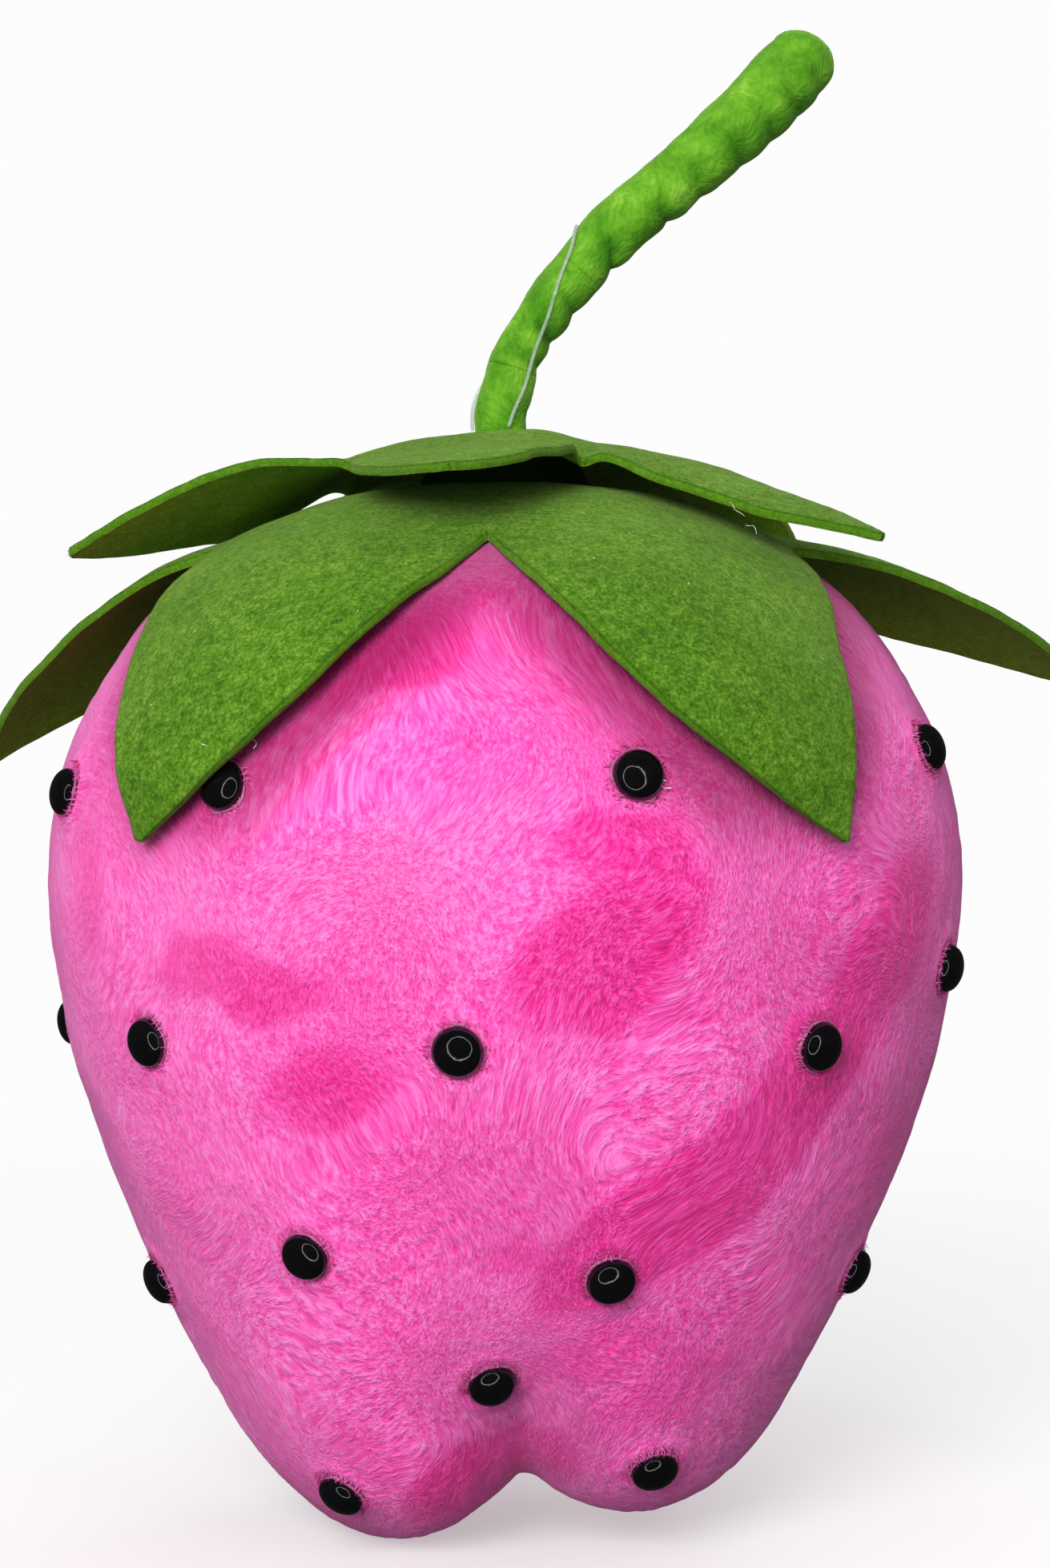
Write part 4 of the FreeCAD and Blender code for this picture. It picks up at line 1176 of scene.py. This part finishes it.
UP_BACK_RIGHT_LINE = [(28.0, 137.6), (38.0, 134.6), (47.0, 131.2), (55.0, 127.6)]

# star, name, sides from the star's first one, centre line, half widths, rise of the edges,
# sideways shift of the tip, radius of the bend across, roll in degrees, and sideways
# bulge at two thirds of the length; both sideways values grow with the azimuth
LEAVES = [
    (LOWER, "lower_leaf_front_left", -1, FRONT_LINE, LOW_W, 0.0, -5.2, 62.0, 0.0, 3.4),
    (LOWER, "lower_leaf_front_right", 0, FRONT_LINE, LOW_W, 0.0, 7.2, 62.0, 0.0, -5.8),
    (LOWER, "lower_leaf_left", -2, LEFT_LINE, LOW_W, 0.0, 0.0, 66.0, 0.8, 0.0),
    (LOWER, "lower_leaf_right", 1, RIGHT_LINE, LOW_W, 0.0, 0.0, 74.0, -2.6, 0.0),
    (LOWER, "lower_leaf_back", 2, BACK_LINE, LOW_W, 0.0, 2.0, 62.0, 0.0, 0.0),
    (UPPER, "upper_leaf_front", 0, UP_FRONT_LINE, UP_FRONT_W, -0.4, 4.6, 400.0, 1.0, 0.0),
    (UPPER, "upper_leaf_left", -1, UP_LEFT_LINE, UP_W, 0.2, 0.0, 200.0, 18.5, 0.0),
    (UPPER, "upper_leaf_right", 1, UP_RIGHT_LINE, UP_W, -1.0, 0.0, 200.0, 2.5, 0.0),
    (UPPER, "upper_leaf_back_left", -2, UP_BACK_LEFT_LINE, UP_W, 0.6, 0.0, 200.0, 4.0, 0.0),
    (UPPER, "upper_leaf_back_right", 2, UP_BACK_RIGHT_LINE, UP_W, 1.0, 0.0, 200.0, -5.0, 0.0),
]
for k, (star, *leaf) in enumerate(LEAVES):
    make_leaf(star, 101 + 30 * k, *leaf)
make_hub(LOWER, "lower_calyx_hub", 401)
make_hub(UPPER, "upper_calyx_hub", 431)

# ----------------------------------------------------------------------- stem
# centre line, in the plane y = 0: (x, z)
STEM_LINE = [
    (-0.6, 142.75), (-0.6, 144.7), (-0.6, 146.5), (0.1, 149.5), (1.0, 152.7), (2.4, 155.9),
    (4.5, 159.0), (6.9, 162.2), (9.5, 165.4), (12.4, 168.6), (15.6, 171.8), (19.2, 175.0),
    (23.0, 178.1), (26.8, 181.3), (30.6, 184.5), (33.9, 187.7), (36.8, 190.7), (38.9, 193.0),
]
# (height, radius)
STEM_R = np.array([(141.0, 3.45), (149.5, 3.4), (159.0, 3.4), (165.4, 3.6), (171.8, 3.9),
                   (178.0, 4.2), (184.5, 4.6), (190.7, 4.72), (194.0, 4.7)])
# folds of the cover: (height, depth)
FOLDS = [(153.6, 0.55), (157.6, 0.75), (161.6, 0.65), (168.2, 1.0), (174.8, 0.95),
         (178.6, 0.60), (182.6, 0.55), (185.8, 0.40), (189.2, 0.45), (192.2, 0.30)]
FOLD_SIDE, PLAIN_SIDE = math.radians(-84), math.radians(100)
TIP_LENGTH, TIP_RINGS = 4.3, 12
NECK_BEND = (159.0, 5.5)               # height and half length of the bend
STEM_CURVE = Spline(STEM_LINE)
STEM_SHARES = np.linspace(0, 1, 1500)
STEM_HEIGHTS = STEM_CURVE.at(STEM_SHARES)[0][:, 1]


def stem_share(z):
    return float(np.interp(z, STEM_HEIGHTS, STEM_SHARES))


def stem_surface(shares, turn, extra=0.0):
    """Points and their centres; turn 0 is the stem's front, 90 degrees its upper left side."""
    centre, tangent = STEM_CURVE.at(shares)
    radius = np.interp(centre[:, 1], STEM_R[:, 0], STEM_R[:, 1]) + extra
    zero = 0 * radius
    left = np.stack([-tangent[:, 1], zero, tangent[:, 0]], -1)
    front = np.array([0, -1.0, 0])
    centre = np.stack([centre[:, 0], zero, centre[:, 1]], -1)
    spoke = front * np.cos(turn)[:, None] + left * np.sin(turn)[:, None]
    return centre + spoke * radius[:, None], centre


def blend_at(obj, lower_body, upper_body, z, half):
    """Bakes the object's transform into its mesh; the stem's centre and direction at height z are
    worked out but not used, and no blend between bodies is made.
    """
    centre, tangent = (pair[0] for pair in STEM_CURVE.at([stem_share(z)]))
    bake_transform(obj)


def stem_relief(points, run, turn):
    """Displacement of the cover, and its creases."""
    # the cover bunches in folds on the inner side of the bend
    toward = np.cos(turn - FOLD_SIDE)
    inner = smooth((toward + 0.30) / 1.15)
    climb = 0.55 * (1 - toward) * 2.4      # each fold climbs a little as it goes round
    crease, swell = 0 * run, 0 * run
    for height, depth in FOLDS:
        wander = vnoise(np.stack([turn * 1.4, 0 * run + height, 0 * run], -1), 71)
        past = run - stem_share(height) * STEM_CURVE.length - climb + 0.5 * wander
        fold = depth * np.exp(-(np.abs(past) / 0.85) ** 1.25) * inner
        crease = np.maximum(crease, fold)
        swell = swell + 0.22 * depth * np.exp(-((past - 2.6) / 1.7) ** 2) * inner
    plain = smooth((np.cos(turn - PLAIN_SIDE) + 0.2) / 1.2) * smooth((run - 6) / 6)
    lumps = vnoise(np.stack([run / 5.2, turn * 0.5, 0 * run + 8], -1), 72)
    relief = swell - 0.62 * crease + 0.34 * lumps * plain
    relief = relief + 0.20 * fbm(points / 5.5, 2, 73)
    relief = relief + 0.05 * vnoise(points / 1.3, 74) + 0.03 * vnoise(points / 0.6, 75)
    return relief, crease


def add_stem_tip(mesh, ring, ring_start, centre):
    """Rounded end: rings that close over the tip."""
    tangent = STEM_CURVE.at([1.0])[1][0]
    ahead = np.array([tangent[0], 0, tangent[1]])
    count, last = len(ring), ring_start
    for k in range(1, TIP_RINGS):
        angle = math.pi / 2 * k / TIP_RINGS
        points = centre + (ring - centre) * math.cos(angle) + ahead * TIP_LENGTH * math.sin(angle)
        lumps = 0.25 * fbm(points / 4.0, 2, 76) + 0.06 * vnoise(points / 1.2, 77)
        points = points + (points - centre) / 4.5 * lumps[:, None]
        start = mesh.add(points)
        mesh.stitch((last + j, last + (j + 1) % count, start + (j + 1) % count, start + j)
                    for j in range(count))
        last = start
    mesh.stitch(fan_faces(last, count, mesh.add([centre + ahead * TIP_LENGTH])))


def make_stem_piece(name, start, end, bodies, replaces, bend, tip=False):
    """A length of the stem's cover, closed at both ends."""
    steps = max(12, int((end - start) * STEM_CURVE.length / (0.42)))
    around = 72
    share, turn = np.meshgrid(np.linspace(start, end, steps + 1),
                              np.linspace(0, 2 * math.pi, around, endpoint=False), indexing="ij")
    points, centres = (part.reshape(steps + 1, around, 3)
                       for part in stem_surface(share.reshape(-1), turn.reshape(-1)))
    relief, crease = stem_relief(points, share * STEM_CURVE.length, turn)
    points = points + unit(points - centres) * relief[..., None]
    mesh = Builder()
    # the crease values also darken the folds in the stem's colour, as painted shade
    mesh.add(points, grid_faces(steps + 1, around, wrap=True), crease=np.clip(crease * 1.4, 0, 1))
    end_ring = steps * around
    if tip:
        add_stem_tip(mesh, points[-1], end_ring, centres[-1, 0])
    else:
        mesh.stitch(fan_faces(end_ring, around, mesh.add([centres[-1, 0]], crease=0.5)))
    mesh.stitch(fan_faces(0, around, mesh.add([centres[0, 0]], crease=0.5), flip=True))
    obj = mesh.finish(name, STEM)
    for node in replaces:
        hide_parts(node)
    blend_at(obj, *bodies, *bend)


def make_stem_glue():
    """A low, uneven fillet of glue where the stem comes out of the felt."""
    verts, faces = glue_ring(np.zeros(3), np.array([0.0, 0.0, 1.0]), 211.0)
    verts = verts * np.array([1.19, 1.19, 1.5]) + np.array([-0.6, 0.0, 143.28])
    mesh = Builder()
    mesh.add(verts, faces)
    mesh.finish("stem_foot_glue", FOOT_GLUE, "fruit", "stem_glue_collar")


neck_start, neck_end = stem_share(152.4), stem_share(165.4)
make_stem_piece("stem_foot_cover", 0.0, neck_start, ("fruit", "stem_lower"),
                ["stem_base_cover", "stem_lower_cover"], bend=(147.4, 3.6))
make_stem_piece("stem_neck_cover", neck_start, neck_end, ("stem_lower", "stem_middle"),
                ["stem_middle_cover"], bend=NECK_BEND)
make_stem_piece("stem_end_cover", neck_end, 1.0, ("stem_middle", "stem_tip"),
                ["stem_tip_cover"], bend=(171.8, 6.0), tip=True)
make_stem_glue()

# --------------------------------------------------------------- hanging loop
# stations round the stem: (height, degrees from the stem's front towards its left)
LOOP_STATIONS = np.array([
    (144.5, -16), (147, -28), (150.5, -37), (155, -33), (159.5, -14), (163.5, 14),
    (166.6, 38), (168.2, 66), (168.6, 94), (167.5, 122), (164, 145), (158, 156),
    (152.5, 145), (149.6, 118), (147.8, 100), (146.0, 95), (144.5, 96),
])


def make_loop():
    shares = [stem_share(z) for z in LOOP_STATIONS[:, 0]]
    points, _ = stem_surface(shares, np.radians(LOOP_STATIONS[:, 1]), extra=0.36)
    mesh = Builder()
    mesh.add(*tube(points, radius=0.25, segments=10, per_cm=24))
    obj = mesh.finish("hanging_loop", STRAND)
    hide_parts("hanging_loop_lower", "hanging_loop_upper")
    blend_at(obj, "stem_lower", "stem_middle", *NECK_BEND)


make_loop()


# ----------------------------------------------------------------------- lint
def make_lint(name, body, centre, size, seed, count, radius):
    """A few thin curled threads about a point."""
    rng = np.random.default_rng(seed)
    mesh = Builder()
    for _ in range(count):
        points = [np.array(centre, float) + rng.normal(0, size * 0.25, 3)]
        way = unit(rng.normal(0, 1, 3))
        for _ in range(5):
            way = unit(way + rng.normal(0, 0.75, 3))
            points.append(points[-1] + way * size * rng.uniform(0.18, 0.4))
        mesh.add(*tube(points, radius, segments=5, per_cm=30))
    mesh.finish(name, LINT, body)


def on_front(x, z, lift):
    """A point on the fruit's front at the given x and height, lifted off the pile."""
    radius, normal_r, normal_z = side_at(z)
    y = -math.sqrt(max(0.0, radius ** 2 - x ** 2))
    normal = np.array([x / radius * normal_r, y / radius * normal_r, normal_z])
    return np.array([x, y, z]) + normal * lift


# name, body, centre, size, seed, threads, thread radius
for lint in (
    ("lint_left_leaf", "lower_leaf_front_left", (-31.5, -50.6, 103.9), 2.6, 501, 5, 0.06),
    ("lint_left_leaf_high", "lower_leaf_front_left", (-16.4, -46.0, 115.6), 1.6, 502, 2, 0.06),
    ("lint_right_leaf", "lower_leaf_front_right", (29.0, -34.5, 129.4), 3.0, 503, 2, 0.03),
    ("lint_right_seed", "fruit", on_front(18.5, 96.5, lift=0.7), 3.4, 504, 3, 0.05),
):
    make_lint(*lint)

# ------------------------------------------- pieces kept as the CAD has them
CAD_MATERIALS = (
    (STUFFING, ("filling_core",)),
    (THREAD, ("left_side_seam_thread", "right_side_seam_thread", "top_gather_thread",
              "bottom_gather_thread", "dimple_tie_thread")),
    (GLUE, ("calyx_glue_pad",)),
    (FOOT_GLUE, ("stem_glue_mound",)),
    (WIRE, ("stem_anchor_wire", "stem_lower_wire", "stem_middle_wire", "stem_tip_wire")),
)
for material, nodes in CAD_MATERIALS:
    for node in nodes:
        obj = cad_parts[node]
        if obj.material_slots:
            for slot in obj.material_slots:
                slot.material = material
        else:
            obj.data.materials.append(material)

# ---------------------------------------------------------------------- stage
BACKDROP_WHITE = 0.98
FLOOR_Z, FLOOR_R, FLOOR_SEGMENTS = -0.12, 4000, 64
CAMERA_AT = (0.0026, -0.400, 0.0976)   # metres


def make_floor():
    mat = Material("studio_floor")
    place = mat.coord()
    noise = mat.noise(place, 0.02, detail=3.0)
    color = mat.ramp(noise, [(0.0, 196, 196, 196), (1.0, 204, 204, 204)])
    floor = mat.surface(Base_Color=color, Roughness=0.85, Emission_Color=WHITE,
                        Emission_Strength=0.42, Specular_IOR_Level=0.1)
    # away from the object it goes over into the white of the backdrop
    distance = mat.node("ShaderNodeVectorMath", operation="LENGTH")
    mat.link(place, distance.inputs[0])
    fade = mat.remap(distance.outputs["Value"], (90.0, 520.0))
    white = mat.light("Emission", BACKDROP_WHITE).outputs[0]
    mat.link(mat.mix_shader(mat.math("POWER", fade, 0.6), floor, white), mat.out)

    turns = [2 * math.pi * k / FLOOR_SEGMENTS for k in range(FLOOR_SEGMENTS)]
    verts = [(0, 0, FLOOR_Z)]
    verts += [(FLOOR_R * math.cos(turn), FLOOR_R * math.sin(turn), FLOOR_Z) for turn in turns]
    faces = [(0, 1 + k, 1 + (k + 1) % FLOOR_SEGMENTS) for k in range(FLOOR_SEGMENTS)]
    obj = new_object("studio_floor", verts, faces, smooth_shade=False)
    obj.data.materials.append(mat.material)
    obj.visible_glossy = False
    obj.visible_diffuse = False


def make_world():
    """Brighter from above for lighting, dim in reflections, white to the camera."""
    world = bpy.data.worlds.new("soft_white")
    bpy.context.scene.world = world
    world.use_nodes = True
    sky = Nodes(world.node_tree)
    out = sky.node("ShaderNodeOutputWorld")
    coord = sky.node("ShaderNodeTexCoord")
    split = sky.node("ShaderNodeSeparateXYZ")
    sky.link(coord.outputs["Generated"], split.inputs[0])
    gradient = sky.remap(split.outputs[2], (-0.6, 0.8), to=(0.22, 0.42))
    lighting = sky.light("Background", 0.3)
    seen = sky.light("Background", BACKDROP_WHITE)
    reflected = sky.light("Background", 0.035)
    sky.link(gradient, lighting.inputs[1])
    rays = sky.node("ShaderNodeLightPath").outputs
    mixed = sky.mix_shader(rays["Is Glossy Ray"], lighting.outputs[0], reflected.outputs[0])
    mixed = sky.mix_shader(rays["Is Camera Ray"], mixed, seen.outputs[0])
    sky.link(mixed, out.inputs[0])


def make_light(name, at, target, size, power):
    """A square area light, unseen in reflections; metres and watts."""
    light = bpy.data.lights.new(name, "AREA")
    light.shape, light.size, light.size_y = "RECTANGLE", size, size
    light.energy = power
    obj = bpy.data.objects.new(name, light)
    COLLECTION.objects.link(obj)
    obj.location = at
    obj.rotation_euler = (Vector(target) - Vector(at)).to_track_quat("-Z", "Y").to_euler()
    obj.visible_glossy = False


def make_ring_light(segments=96, radii=(262.0, 286.0)):
    """A glowing ring round the lens."""
    mat = Material("ring_light")
    mat.link(mat.light("Emission", 6.5).outputs[0], mat.out)
    x, y, z = (c * 1000 for c in CAMERA_AT)
    verts, faces = [], []
    for k in range(segments):
        turn = 2 * math.pi * k / segments
        verts += [(x + r * math.cos(turn), y, z + r * math.sin(turn)) for r in radii]
        a, b = 2 * k, 2 * ((k + 1) % segments)
        faces.append((a, a + 1, b + 1, b))
    obj = new_object("ring_light", verts, faces, smooth_shade=False)
    obj.data.materials.append(mat.material)
    obj.visible_camera = False
    obj.visible_shadow = False


def make_camera():
    scene = bpy.context.scene
    data = bpy.data.cameras.new("camera")
    data.sensor_width = 36.0
    data.lens = 69.315628
    camera = bpy.data.objects.new("camera", data)
    COLLECTION.objects.link(camera)
    camera.location = CAMERA_AT
    camera.rotation_euler = (math.radians(90), 0, 0)
    scene.camera = camera
    scene.view_settings.view_transform = "Standard"
    scene.view_settings.look = "None"


make_floor()
make_world()
make_light("key_soft", at=(-0.24, -0.96, 0.46), target=(0, 0, 0.07), size=0.50, power=12.4)
make_light("top_soft", at=(0.05, 0.15, 1.1), target=(0, 0, 0.1), size=0.9, power=2.0)
make_light("back_soft", at=(0.5, 0.9, 0.7), target=(0, 0, 0.08), size=0.7, power=2.6)
make_ring_light()
make_camera()
